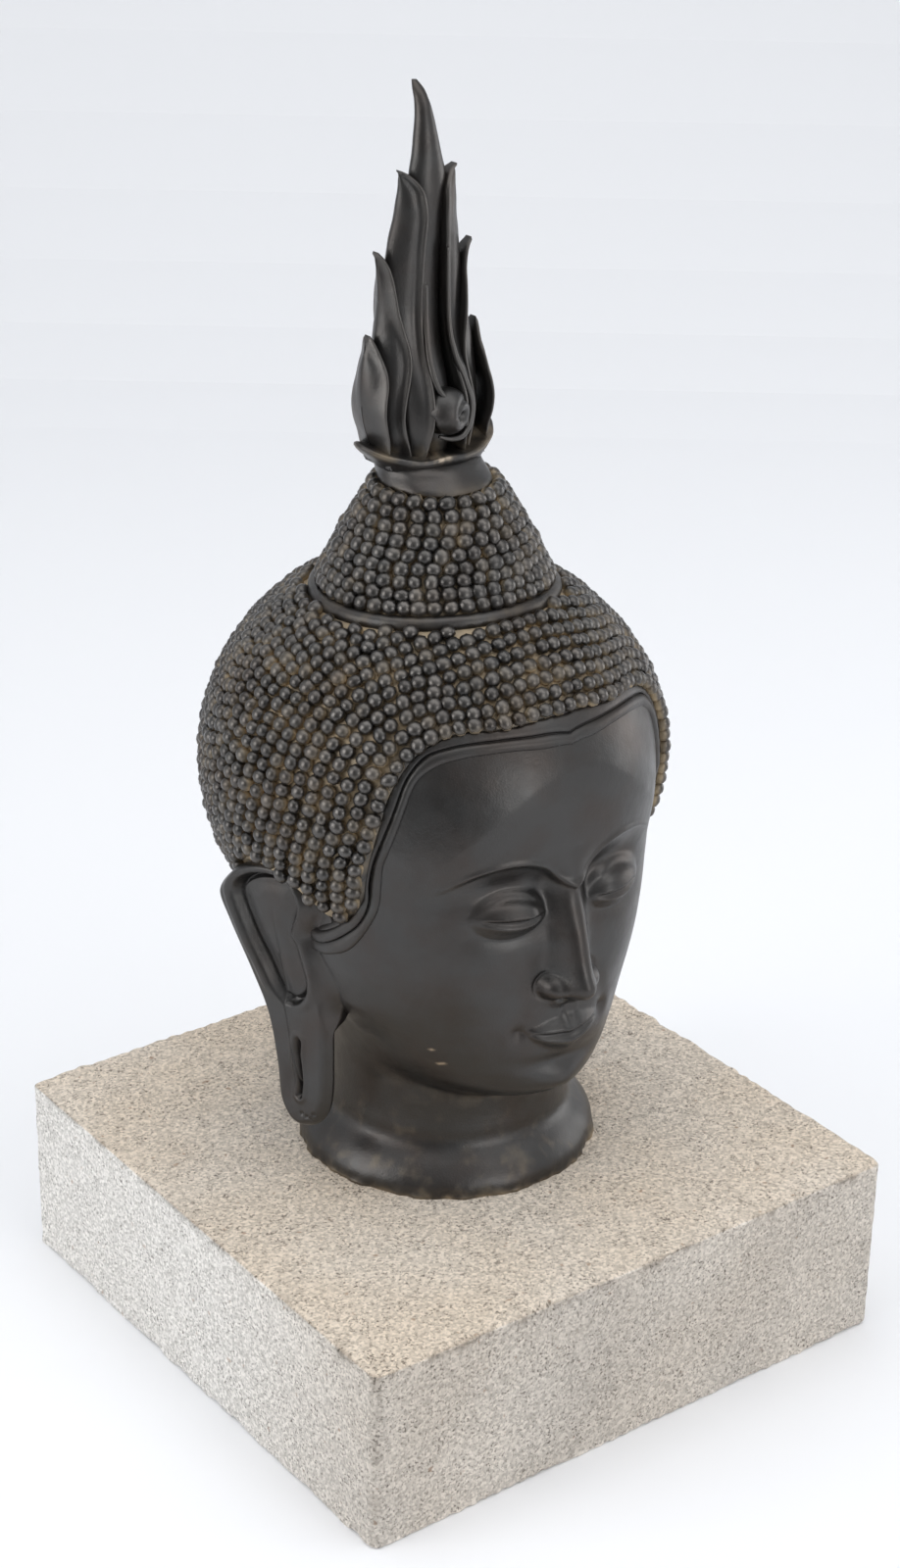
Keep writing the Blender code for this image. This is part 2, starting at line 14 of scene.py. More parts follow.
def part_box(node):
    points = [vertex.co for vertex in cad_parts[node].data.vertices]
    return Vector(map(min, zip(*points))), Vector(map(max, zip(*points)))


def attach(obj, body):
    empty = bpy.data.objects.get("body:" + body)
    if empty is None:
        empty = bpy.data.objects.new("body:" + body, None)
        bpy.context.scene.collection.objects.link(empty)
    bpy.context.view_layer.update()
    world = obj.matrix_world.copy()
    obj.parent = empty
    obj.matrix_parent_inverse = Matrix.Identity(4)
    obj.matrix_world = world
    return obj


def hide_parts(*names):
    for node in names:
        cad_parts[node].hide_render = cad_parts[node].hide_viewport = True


bl_info = {
    "name": "Bronze head on a granite plinth",
    "version": (1, 0, 0),
    "blender": (4, 5, 0),
    "location": "3D View > Sidebar > Bronze head",
    "description": "Builds the plinth, the face, the ears, the curls and the flame over the packed model",
    "category": "Object",
}

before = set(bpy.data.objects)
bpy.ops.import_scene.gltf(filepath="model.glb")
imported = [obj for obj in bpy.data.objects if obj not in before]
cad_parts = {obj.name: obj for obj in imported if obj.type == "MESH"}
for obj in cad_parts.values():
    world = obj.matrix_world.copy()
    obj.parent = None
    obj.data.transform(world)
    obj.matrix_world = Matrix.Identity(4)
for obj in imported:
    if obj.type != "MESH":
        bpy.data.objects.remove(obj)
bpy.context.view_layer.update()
PLINTH_BOX = np.array(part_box("granite_plinth")) * 1000
HEAD_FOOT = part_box("bronze_head")[0][2] * 1000
HEAD_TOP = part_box("bronze_head")[1][2] * 1000 - HEAD_FOOT
FLAME_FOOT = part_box("flame_finial")[0][2] * 1000
FLAME_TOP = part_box("flame_finial")[1][2] * 1000 - FLAME_FOOT

# Hair cap and hairline, as the CAD model has them
CAP_RADII = np.array((139.0, 150.0, 133.0))
CAP_CENTRE = np.array((0.0, 21.0, 255.0))
TEMPLE_FLATTENING = 0.035
SKIN_UNDER_HAIR = 2.0

# The two raised strips along the hairline, from its middle to the ear: turn and spread, in degrees
STRIP_HAIR_EDGE = (
    (0, 34), (20.3, 36), (30.8, 39.1), (38.6, 43.7), (46.7, 47.4), (54.4, 49.8), (63.3, 51.4), (72, 52.7),
    (79.5, 53.3), (87, 54.5), (95, 56.6), (102, 58.2), (109, 59.8), (114.5, 63), (118.5, 68), (121.5, 74),
    (122.5, 79),
)
STRIP_GROOVE = (
    (0, 29.2), (18, 32), (29, 35.3), (37.5, 39.1), (47.1, 44.7), (53.2, 47.9), (62.1, 49.5), (72, 50.1),
    (79.5, 51.1), (87.5, 52.8), (95.5, 55), (103, 56.8), (111, 58.4), (117, 62), (121, 67.5), (123.8, 73.5),
    (125, 79),
)
STRIP_FACE_EDGE = (
    (0, 26.2), (16.2, 27.9), (27, 30.8), (37.9, 35.2), (47.5, 40.5), (54, 44.2), (62, 47), (73.1, 47.9),
    (82, 49), (89.8, 50.7), (96.5, 52.6), (104.2, 53.9), (112.3, 56), (118.7, 60.1), (124, 65.6),
    (126.3, 72), (127.5, 78.5),
)

# Where the hair ends behind the ear and round the nape, and the line that the rows of curls run along
NAPE_TURN = (121.5, 132, 145, 162, 180)
NAPE_SPREAD = (74, 86, 100, 112, 117)
ROW_TURN = (112, 118, 130, 150, 180)
ROW_SPREAD = (60.2, 61.5, 61, 60, 60)

# Ushnisha, with its band's profile as (out, up) points from the foot of its face
USHNISHA_Y = 25.0
USHNISHA_FOOT_RADIUS = 72.0
USHNISHA_TOP_RADIUS = 37.0
USHNISHA_BAND = (
    (-8, -14), (3.6, -6), (5.0, -3.6), (5.6, -1), (5.2, 1.8), (3.8, 3.8), (1.5, 4.8), (-1.0, 4.4),
    (-4, 2), (-8, 0),
)

# Curls: the first row's angle from the hairline in degrees, how far inside its outline the cone's face lies
# under its curls, and how far the cap's curls stay off the cone's foot. One curl's profile is in shares of
# its half width and height, with the dirt on its rings, and SOILED is the dirt on the face under them
FIRST_ROW = 1.6
CURL_SUNK = 3.0
CURLS_OFF_BAND = 6.3
CURL_PROFILE = ((0.8, -0.1), (1.0, 0.38), (0.9, 0.7), (0.52, 0.94))
CURL_SOIL = (1.0, 0.55, 0.1, 0.0)
SOILED = 0.8

# Skin stations: height, half width, depth in front, depth behind; neck: height, radius
SKIN = np.array((
    (62, 40, 60, 40), (68, 50, 84, 48), (74, 60, 98, 56), (82, 70, 106, 66), (94, 79, 110, 76),
    (108, 87, 111, 81), (125, 95, 111, 88), (153, 104, 113, 106), (185, 111, 115, 130), (217, 115, 116, 150),
    (235, 117, 118, 158), (260, 120, 120, 166), (290, 122, 119, 164), (318, 122, 112, 152),
    (345, 104, 92, 128), (368, 72, 56, 92),
))
NECK = np.array(((0, 97), (9, 95), (19, 88), (26, 81), (40, 78), (70, 78), (110, 79), (140, 70), (160, 40)))
NECK_Y = 4.0
FACE_SQUARENESS = 2.25
BLEND_POWER = 14.0
JAW_ANGLE = 9.0  # swell in front of the ear, at a turn and with a reach in radians
JAW_TURN = 1.33
JAW_REACH = 0.33
CHEEK_CHIPS = (((-76, 114.3), (-74.6, 113.8)), ((-79.5, 104), (-75.5, 102.6)))

# Face, in thirds from the hairline's middle to the chin
FACE_TOP = 318.0
CHIN = 70.0
THIRD = (FACE_TOP - CHIN) / 3
BROW = FACE_TOP - THIRD
NOSE_BASE = BROW - THIRD
MOUTH = NOSE_BASE - THIRD / 3
EYE = BROW - THIRD * 0.28
EYE_X = 39.5

# Ear: (back, up) points, on a slanted plate. The wing's rows are height, the edge where it starts to glide
# down to the cheek, and the width of the glide
EAR_OUTLINE = (
    (-18, 206), (-9, 214), (6, 219), (20, 219), (32, 215), (44, 206), (54, 190), (46, 170), (31, 142),
    (19, 116), (12.5, 84), (10, 60), (4, 47), (-5, 42), (-15, 46), (-23, 56), (-26, 72), (-26.5, 98),
    (-26.5, 118), (-28, 132), (-38, 148), (-42, 170), (-32, 192),
)
EAR_HOLLOW = (
    (38.5, 200), (33, 206), (25, 210.5), (15, 213), (6, 213), (-1, 210.5), (-5, 206), (-7, 201),
    (-7.2, 194.5), (-5, 187.5), (-3, 181), (-3.6, 175.7), (-6, 170.5), (-8, 164), (-11, 155),
    (-12.8, 147.6), (-12.5, 140.5), (-9, 133.5), (-3, 129), (3, 128.7), (8, 132.5), (13, 139), (19, 150),
    (26, 161), (32, 172), (38, 185), (40.2, 193),
)
EAR_CRUS = ((5, 217), (-4, 213.5), (-9.5, 207), (-11.5, 200), (-10.5, 192), (-7.8, 184.5), (-6, 178.5))
EAR_WING = (
    (105, -26, 1), (118, -25, 2), (127, -22, 6), (136, -19, 12), (148, -17, 19), (162, -14, 18),
    (172, -11, 11), (179, -11, 5), (188, -14, 4), (200, -16, 4), (210, -14, 4), (220, -7, 4),
)
EAR_FRONT = -40.0
EAR_FRONT_X = 106.0
EAR_SLANT = 0.34
EAR_THICKNESS = 11.0
EAR_SPINE = ((-7, 66), (14, 190))
LOBE_SLIT = ((-6.5, 104), (-5.8, 96), (-7, 87), (-7.8, 77), (-6.8, 66))
LOBE_PITS = ((-9, 53), (-12.5, 52), (-17.5, 55), (-15, 51))

# Flame leaves: height, outer edge, inner rim, depth of the rim in front of the middle. The tongue between
# them: height, half width, half depth
UPPER_LEAF = (
    (12, 27, 14, 20), (25, 26.5, 12.5, 24), (40, 29, 11, 28), (52, 30, 10.5, 28), (64, 30.5, 9.6, 24),
    (75, 30.5, 9.2, 19), (94, 30, 8.6, 15), (122, 28, 7.8, 14), (138, 25.5, 7.4, 14), (148, 24, 7, 14),
    (157, 22, 6.3, 13.5), (167, 21, 6.8, 12), (176, 20, 8.5, 9), (181, 20, 12, 6), (184, 20, 15.5, 4),
    (186, 20, 19.5, 3),
)
MIDDLE_LEAF = (
    (12, 33, 19, 17), (24, 34.5, 21, 17), (32, 36, 23, 17), (42, 37, 24.5, 17), (53, 37, 23, 17),
    (63, 37, 20.5, 17), (74, 36, 18.5, 17), (83, 35, 19, 16.5), (94, 32.5, 21.5, 15), (104, 31, 23.5, 13),
    (114, 31, 24.5, 11), (125, 32, 25.5, 8), (132, 33, 27.5, 6), (137, 33.8, 30.5, 4), (140, 34, 33.5, 3),
)
OUTER_LEAF = (
    (12, 34, 34, 14), (22, 38, 35, 16), (30, 41, 35.6, 17), (38, 43.5, 37.6, 18), (47, 45, 38.6, 18),
    (55, 45.3, 37.6, 17.5), (63, 45, 35.6, 16.5), (72, 43.8, 34.6, 14), (79, 42, 35, 10),
    (85, 40.6, 36.2, 7), (89, 39.4, 37.4, 4.5), (91, 38.8, 38.4, 3),
)
TONGUE = (
    (12, 12, 16), (40, 12, 20), (52, 12, 20), (64, 12, 17), (75, 12, 13), (94, 12, 10), (122, 12, 9),
    (148, 12, 9), (167, 12, 9), (184, 12, 8), (192, 10, 7.5), (203, 8, 6.5), (213, 6.2, 5.5),
    (223, 4.5, 4.5), (230, 3.2, 3.2), (233.4, 1.6, 1.6),
)
FLAME_CURL_HEIGHTS = (0, 60, 100, 140, 185, 205, 215, 223, 229, 234)
FLAME_CURL = (0, 2, 5, 4, 1, 3, 4.5, 7, 10.5, 15)
FLAME_LEAN_BACK = 13.0

# Collar and lip, with profiles of height and share of the radius
COLLAR_RADIUS = 34.5
COLLAR_HEIGHT = 14.0
FLANGE_HALF_WIDTH = 48.0
FLANGE_HALF_DEPTH = 31.0
FLANGE_PROFILE = (
    (5, 0.70), (8, 0.76), (10, 0.82), (12.5, 0.90), (15, 0.965), (17, 0.995), (18.4, 0.99), (19.2, 0.955),
    (19.0, 0.88), (18, 0.6),
)
COLLAR_PROFILE = ((0, 0.97), (1.5, 1.0), (4, 1.0), (7, 0.97), (10, 0.95), (14, 0.97))

# Boss, and the middle lines of the ridges that run down into it and round it
BOSS_PLACE = (0.0, -21.0, 45.0)
BOSS_RADIUS = 14.5
RIDGE_INTO_BOSS = (
    (-7.4, -10.5, 120), (-8, -11.5, 98), (-9, -15.5, 80), (-9, -20.5, 68), (-7.4, -24.5, 60), (-4, -28, 55),
)
RIDGE_ROUND_BOSS = (
    (7.6, -10.5, 140), (8.2, -11.5, 98), (9.6, -16, 78), (13.5, -21, 63), (17, -23.5, 49),
    (15.5, -24.5, 37), (9, -26.5, 30), (0, -27.5, 29.5), (-8, -26, 32),
)

# Colours that stay as they are
RUST = "#8f6a48"
# The grey below darkens the dirt at the arrises and the corners, and paints shade on the front face
GRIME_AND_FRONT_SHADE = "#8f8880"
BARE_METAL = "#b9aa96"
ROOM = "#f4f6fa"

# Stage, in metres: the paper's length in front, its flat length behind, the bend's radius, the wall's top and
# half the width; the lamps' names, settings, sizes, places and aims; the camera
SWEEP = (-1.1, 1.8, 1.6, 5.0, 7.0)
SWEEP_AHEAD = (0.6, 0.8, 0.0)
SWEEP_ASIDE = (0.8, -0.6, 0.0)
LAMPS = (
    ("overhead", "top", 3.0, (-0.3, 0.3, 3.3), (0, 0.3, 0)),
    ("left", "left", 1.5, (-2.3, 0.3, 1.0), (0, 0, 0.3)),
    ("front", "front", 1.2, (0.1, -2.5, 0.75), (0, 0, 0.45)),
    ("high_front", "high", 1.6, (0.6, -1.5, 2.5), (0, 0, 0.1)),
    ("right", "right", 1.3, (2.4, -0.5, 0.6), (0, 0, 0.4)),
)
DIM_WAY = (-0.87, -0.48, 0.0)
DIM_SHARE = 0.3
CAMERA_PLACE = (-0.9914, -1.3152, 1.1403)
CAMERA_AIM = (-0.0607, -0.0751, 0.4139)
CAMERA_ROLL = 1.064
CAMERA_LENS = 67.24


def linear(hex_colour):
    """An sRGB hex colour as the linear red, green and blue that Blender works in."""
    srgb = np.array([int(hex_colour[i : i + 2], 16) for i in (1, 3, 5)]) / 255
    return tuple(np.where(srgb <= 0.04045, srgb / 12.92, ((srgb + 0.055) / 1.055) ** 2.4).tolist())


# The sizes and colours that a user would change


class PlinthSettings(PropertyGroup):
    arris: FloatProperty(name="Arris", description="Width of the worn edge", default=0.0028, unit="LENGTH")
    corner: FloatProperty(name="Corner", description="Radius of the corners", default=0.007, unit="LENGTH")
    chips: FloatProperty(name="Chips", description="Depth of the largest chips", default=0.003, unit="LENGTH")
    feldspar: FloatVectorProperty(
        name="Feldspar", description="Pale crystals of the stone", size=3, subtype="COLOR",
        default=linear("#f1efeb"),
    )
    quartz: FloatVectorProperty(
        name="Quartz", description="Grey crystals of the stone", size=3, subtype="COLOR",
        default=linear("#c1bfbb"),
    )
    mica: FloatVectorProperty(
        name="Mica", description="Dark specks of the stone", size=3, subtype="COLOR",
        default=linear("#5d5750"),
    )
    # Multiplied over the top as warm soiling, and over the front face as painted shade
    stain_and_front_shade: FloatVectorProperty(
        name="Stain", description="Warm soiling of the top", size=3, subtype="COLOR",
        default=linear("#f7e9d8"),
    )


class HeadSettings(PropertyGroup):
    curl_width: FloatProperty(name="Curl width", description="Across one curl", default=0.0100, unit="LENGTH")
    curl_height: FloatProperty(name="Curl height", description="Scalp to top", default=0.0066, unit="LENGTH")
    curl_pitch: FloatProperty(
        name="Curl pitch", description="From curl to curl in a row", default=0.0087, unit="LENGTH",
    )
    rows: IntProperty(name="Rows", description="Rows of curls from brow to crown", default=35, min=2)
    row_pitch: FloatProperty(
        name="Row pitch", description="Angle from row to row", default=np.radians(3.85), unit="ROTATION",
    )
    strip_height: FloatProperty(
        name="Strip", description="Height of the hairline strips", default=0.0024, unit="LENGTH",
    )
    patina: FloatVectorProperty(
        name="Patina", description="Black patina of the bronze", size=3, subtype="COLOR",
        default=linear("#4a4948"),
    )
    brown: FloatVectorProperty(
        name="Brown", description="Browner patina in places", size=3, subtype="COLOR",
        default=linear("#484340"),
    )
    worn: FloatVectorProperty(
        name="Worn", description="Handled high places", size=3, subtype="COLOR", default=linear("#77736f"),
    )
    dirt: FloatVectorProperty(
        name="Dirt", description="Dry dirt between the curls", size=3, subtype="COLOR",
        default=linear("#bfab8b"),
    )


class StageSettings(PropertyGroup):
    floor: FloatVectorProperty(
        name="Floor", description="Paper that the object stands on", size=3, subtype="COLOR",
        default=linear("#f2f3f5"),
    )
    sky: FloatProperty(name="Fill", description="Strength of the even light", default=0.74, min=0)
    top: FloatProperty(name="Top", description="Light overhead", default=34.0, min=0, unit="POWER")
    left: FloatProperty(name="Left", description="Light at the left", default=22.0, min=0, unit="POWER")
    front: FloatProperty(name="Front", description="Light in front", default=11.0, min=0, unit="POWER")
    high: FloatProperty(name="High", description="Light above the front", default=11.0, min=0, unit="POWER")
    right: FloatProperty(name="Right", description="Light at the right", default=12.0, min=0, unit="POWER")


# Shared sums


def ease(t):
    """0 before 0, 1 after 1, and a smooth rise between."""
    t = np.clip(t, 0, 1)
    return t * t * (3 - 2 * t)


def bell(away, reach):
    """1 in the middle, falling off as e to the minus square of the distance over the reach."""
    return np.exp(-((away / reach) ** 2))


def hump(across, up, wide, high):
    """A bell over each of two reaches, multiplied."""
    return np.exp(-((across / wide) ** 2) - (up / high) ** 2)


def mix(a, b, share):
    """The value that lies a share of the way from a to b."""
    return a + (b - a) * share


def circle(count):
    """Evenly spaced angles round a full turn."""
    return np.arange(count) * 2 * np.pi / count


def smooth_through(at, knots, values):
    """A smooth curve through values at knots: cubic pieces with the mean slope of their neighbours."""
    knots, values = np.asarray(knots, float), np.asarray(values, float)
    slopes = np.gradient(values, knots, axis=0)
    at = np.clip(at, knots[0], knots[-1])
    left = np.clip(np.searchsorted(knots, at, side="right") - 1, 0, len(knots) - 2)
    step = knots[left + 1] - knots[left]
    t = (at - knots[left]) / step
    if values.ndim > 1:
        t, step = t[..., None], step[..., None]
    start = values[left] * (1 + 2 * t) * (1 - t) ** 2 + slopes[left] * step * t * (1 - t) ** 2
    return start + values[left + 1] * t**2 * (3 - 2 * t) - slopes[left + 1] * step * t**2 * (1 - t)


def ripple(points, length, seed):
    """Smooth noise of about unit size: twelve plane waves of one length, in seeded directions and phases."""
    seeded = np.random.default_rng(seed)
    ways = seeded.normal(size=(12, 3))
    ways *= 2 * np.pi / length / np.linalg.norm(ways, axis=1)[:, None]
    phases = seeded.uniform(0, 2 * np.pi, 12)
    return sum(np.cos(points @ way + phase) for way, phase in zip(ways, phases)) / 6**0.5


def closed_curve(points, count):
    """Points spaced evenly by number along a smooth closed curve through the given ones."""
    points = np.array(points, float)
    around = np.concatenate((points[-3:], points, points[:3]))
    return smooth_through(np.arange(count) * len(points) / count, np.arange(len(around)) - 3.0, around)


def distance_to_line(points, line, closed):
    """Least distance from each flat point to a line of straight pieces."""
    line = np.array(line, float)
    ends = np.roll(line, -1, axis=0) if closed else line[1:]
    starts = line if closed else line[:-1]
    along = ends - starts
    share = np.sum((points[..., None, :] - starts) * along, axis=-1) / np.sum(along**2, axis=-1)
    nearest = starts + np.clip(share, 0, 1)[..., None] * along
    return np.linalg.norm(points[..., None, :] - nearest, axis=-1).min(axis=-1)


def inside_outline(points, outline):
    """Whether each flat point is inside a closed outline, by counting the crossings of a level ray."""
    a, b = outline, np.roll(outline, -1, axis=0)
    y, z = points[..., None, 0], points[..., None, 1]
    spans = (a[:, 1] > z) != (b[:, 1] > z)
    rise = np.where(np.abs(b[:, 1] - a[:, 1]) < 1e-9, 1e-9, b[:, 1] - a[:, 1])
    crossing = a[:, 0] + (z - a[:, 1]) / rise * (b[:, 0] - a[:, 0])
    return (np.sum(spans & (y < crossing), axis=-1) % 2).astype(bool)


# Meshes


def grid_shell(grid):
    """Points and faces of a closed shell over rows of points. Each row is a ring, and each end row is closed
    with a fan on its middle. The faces are turned outwards by the sign of the volume that they hold."""
    rows, columns = grid.shape[:2]
    points = np.concatenate((grid.reshape(-1, 3), grid[:1].mean(axis=1), grid[-1:].mean(axis=1)))
    here = np.arange(rows * columns).reshape(rows, columns)
    after = np.roll(here, -1, axis=1)
    quads = np.stack((here[:-1], after[:-1], after[1:], here[1:]), axis=-1).reshape(-1, 4)
    low = np.stack((after[0], here[0], np.full(columns, rows * columns)), axis=-1)
    high = np.stack((here[-1], after[-1], np.full(columns, rows * columns + 1)), axis=-1)
    a, b, c, d = (points[quads[:, i]] for i in range(4))
    volume = np.sum(np.cross(b - a, c - a) * a) + np.sum(np.cross(c - a, d - a) * a)
    fans = np.concatenate((low, high))
    if volume < 0:
        quads, fans = quads[:, ::-1], fans[:, ::-1]
    return points, quads.tolist() + fans.tolist()


def make_piece(name, points, faces, material, node, layers=None):
    """A smooth mesh in place, riding on the body of its node. Each layer is a number on every point."""
    mesh = bpy.data.meshes.new(name)
    mesh.from_pydata((np.asarray(points) / 1000).tolist(), [], faces)
    mesh.polygons.foreach_set("use_smooth", np.ones(len(mesh.polygons), bool))
    for layer, values in (layers or {}).items():
        numbers = mesh.attributes.new(layer, "FLOAT", "POINT").data
        numbers.foreach_set("value", np.asarray(values, np.float32))
    mesh.materials.append(material)
    made = bpy.data.objects.new(name, mesh)
    bpy.context.scene.collection.objects.link(made)
    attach(made, "root")
    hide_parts(node)
    return made


def head_piece(name, shell, material, layers=None):
    """A piece of the head, from a shell whose heights are from the neck's foot."""
    points, faces = shell
    return make_piece(name, points + (0, 0, HEAD_FOOT), faces, material, "bronze_head", layers)


def with_ends(layer):
    """A layer on a grid of points, with the two end points of its closed shell added."""
    return np.concatenate((layer.ravel(), [layer[0].mean(), layer[-1].mean()]))


def joined(shells):
    """Several shells as one list of points and one of faces."""
    starts = np.cumsum([0] + [len(points) for points, _ in shells])
    faces = [[start + i for i in face] for start, (_, part) in zip(starts, shells) for face in part]
    return np.concatenate([points for points, _ in shells]), faces


# Materials


def add(tree, kind, sockets=None, **settings):
    """Adds a node, gives it its settings, and fills each named socket with a value or a link."""
    node = tree.nodes.new(kind)
    for name, value in settings.items():
        setattr(node, name, value)
    for name, value in (sockets or {}).items():
        if isinstance(value, bpy.types.NodeSocket):
            tree.links.new(value, node.inputs[name])
        else:
            node.inputs[name].default_value = value
    return node


def new_material(name):
    """An empty material with its tree, shader and Object coordinates."""
    made = bpy.data.materials.new(name)
    made.use_nodes = True
    tree = made.node_tree
    return made, tree, tree.nodes["Principled BSDF"], add(tree, "ShaderNodeTexCoord").outputs["Object"]


def black_patina(name, settings, roughness):
    """Cast bronze under a black sulphide patina, waxed: a dark satin metal that gives broad dim highlights,
    browner where the patina is thin. A layer named soil carries dry dirt, one named pale bare chips."""
    made, tree, shader, place = new_material(name)
    # Cloudy patina: patches about 30 mm across, from chemicals brushed on over heat
    cloud = add(
        tree, "ShaderNodeTexNoise", {"Vector": place, "Scale": 26.0, "Detail": 5.0, "Roughness": 0.55},
    )
    cloudy = add(
        tree, "ShaderNodeMapRange", {"Value": cloud.outputs["Fac"], "From Min": 0.42, "From Max": 0.7},
    )
    # Cast skin: grains about 1 mm across, on waves about 14 mm long. The waves also make the dirt ragged
    grain = add(tree, "ShaderNodeTexNoise", {"Vector": place, "Scale": 900.0, "Detail": 3.0})
    broad = add(tree, "ShaderNodeTexNoise", {"Vector": place, "Scale": 70.0, "Detail": 3.0})
    soil, pale, worn = (
        add(tree, "ShaderNodeAttribute", attribute_name=layer).outputs["Fac"]
        for layer in ("soil", "pale", "worn")
    )
    patchy = add(
        tree, "ShaderNodeMapRange",
        {"Value": broad.outputs["Fac"], "From Min": 0.35, "From Max": 0.65, "To Min": -0.35, "To Max": 0.3},
    )
    ragged = add(
        tree, "ShaderNodeMath", {0: soil, 1: patchy.outputs["Result"]}, operation="ADD", use_clamp=True,
    )
    dirty = add(tree, "ShaderNodeMath", {0: ragged.outputs[0], 1: soil}, operation="MULTIPLY").outputs[0]
    colour = (*settings.patina, 1)
    for share, tint in (
        (cloudy.outputs["Result"], settings.brown), (dirty, settings.dirt), (pale, linear(BARE_METAL)),
        (worn, settings.worn),
    ):
        colour = add(
            tree, "ShaderNodeMix", {0: share, 6: colour, 7: (*tint, 1)}, data_type="RGBA",
        ).outputs[2]
    # Dirt is no metal and is dull. The wax leaves the bronze a little more or less satin from place to place
    metallic = add(tree, "ShaderNodeMapRange", {"Value": dirty, "To Min": 0.9, "To Max": 0.1})
    sheen = add(
        tree, "ShaderNodeMapRange",
        {"Value": broad.outputs["Fac"], "From Min": 0.25, "From Max": 0.75, "To Min": roughness - 0.05,
         "To Max": roughness + 0.07},
    )
    rough = add(
        tree, "ShaderNodeMath", {0: dirty, 1: 0.4, 2: sheen.outputs["Result"]}, operation="MULTIPLY_ADD",
    )
    fine = add(
        tree, "ShaderNodeBump", {"Height": grain.outputs["Fac"], "Strength": 0.25, "Distance": 0.0004},
    )
    wavy = add(
        tree, "ShaderNodeBump",
        {"Height": broad.outputs["Fac"], "Strength": 0.35, "Distance": 0.0012,
         "Normal": fine.outputs["Normal"]},
    )
    for socket, output in (
        ("Base Color", colour), ("Metallic", metallic.outputs["Result"]), ("Roughness", rough.outputs[0]),
        ("Normal", wavy.outputs["Normal"]),
    ):
        tree.links.new(output, shader.inputs[socket])
    return made


def granite(settings):
    """Fine grey-beige granite, sawn and unpolished: interlocked pale and grey crystals of 1 to 3 mm with
    dark mica specks and a few rusty ones, warmer on the top, and with painted shade on the front face."""
    made, tree, shader, place = new_material("granite, sawn")
    # Crystals about 2 mm across
    crystals = add(tree, "ShaderNodeTexVoronoi", {"Vector": place, "Scale": 560.0})
    cell = add(tree, "ShaderNodeSeparateColor", {"Color": crystals.outputs["Color"]})
    # Dark specks of 1 to 2 mm that crowd together in patches about 18 mm across
    specks = add(
        tree, "ShaderNodeTexNoise", {"Vector": place, "Scale": 480.0, "Detail": 3.0, "Roughness": 0.75},
    )
    dark = add(
        tree, "ShaderNodeMapRange", {"Value": specks.outputs["Fac"], "From Min": 0.53, "From Max": 0.65},
    )
    clusters = add(tree, "ShaderNodeTexNoise", {"Vector": place, "Scale": 55.0, "Detail": 3.0})
    denser = add(
        tree, "ShaderNodeMapRange",
        {"Value": clusters.outputs["Fac"], "From Min": 0.35, "From Max": 0.65, "To Min": 0.45,
         "To Max": 1.15},
    )
    mottled = add(
        tree, "ShaderNodeMath",
        {0: dark.outputs["Result"], 1: denser.outputs["Result"]}, operation="MULTIPLY", use_clamp=True,
    )
    # A few rusty spots, at most 8 mm across
    rust = add(tree, "ShaderNodeTexNoise", {"Vector": place, "Scale": 130.0, "Detail": 2.0})
    rusty = add(
        tree, "ShaderNodeMapRange",
        {"Value": rust.outputs["Fac"], "From Min": 0.69, "From Max": 0.74, "To Max": 0.5},
    )
    # Weathering: warm on the top, in clouds about 100 mm across, and grey-brown dirt held by the arrises.
    # Both layers also paint shade on the front face
    weathered, grime = (
        add(tree, "ShaderNodeAttribute", attribute_name=layer).outputs["Fac"]
        for layer in ("weathered", "grime")
    )
    cloud = add(tree, "ShaderNodeTexNoise", {"Vector": place, "Scale": 9.0, "Detail": 4.0})
    uneven = add(
        tree, "ShaderNodeMapRange",
        {"Value": cloud.outputs["Fac"], "From Min": 0.35, "From Max": 0.65, "To Min": 0.75},
    )
    warm_top_and_shaded_front = add(tree, "ShaderNodeMath", {0: weathered, 1: uneven.outputs["Result"]}, operation="MULTIPLY")
    colour = (*settings.feldspar, 1)
    for share, tint, way in (
        (cell.outputs[0], settings.quartz, "MIX"), (mottled.outputs[0], settings.mica, "MIX"),
        (rusty.outputs["Result"], linear(RUST), "MIX"), (warm_top_and_shaded_front.outputs[0], settings.stain_and_front_shade, "MULTIPLY"),
        (grime, linear(GRIME_AND_FRONT_SHADE), "MULTIPLY"),
    ):
        colour = add(
            tree, "ShaderNodeMix", {0: share, 6: colour, 7: (*tint, 1)}, data_type="RGBA", blend_type=way,
        ).outputs[2]
    tree.links.new(colour, shader.inputs["Base Color"])
    shader.inputs["Roughness"].default_value = 0.85
    # Sawn and weathered face: pits about 2 mm across
    wobble = add(tree, "ShaderNodeTexNoise", {"Vector": place, "Scale": 500.0, "Detail": 2.0})
    pits = add(
        tree, "ShaderNodeBump", {"Height": wobble.outputs["Fac"], "Strength": 0.6, "Distance": 0.0008},
    )
    tree.links.new(pits.outputs["Normal"], shader.inputs["Normal"])
    return made


# Plinth


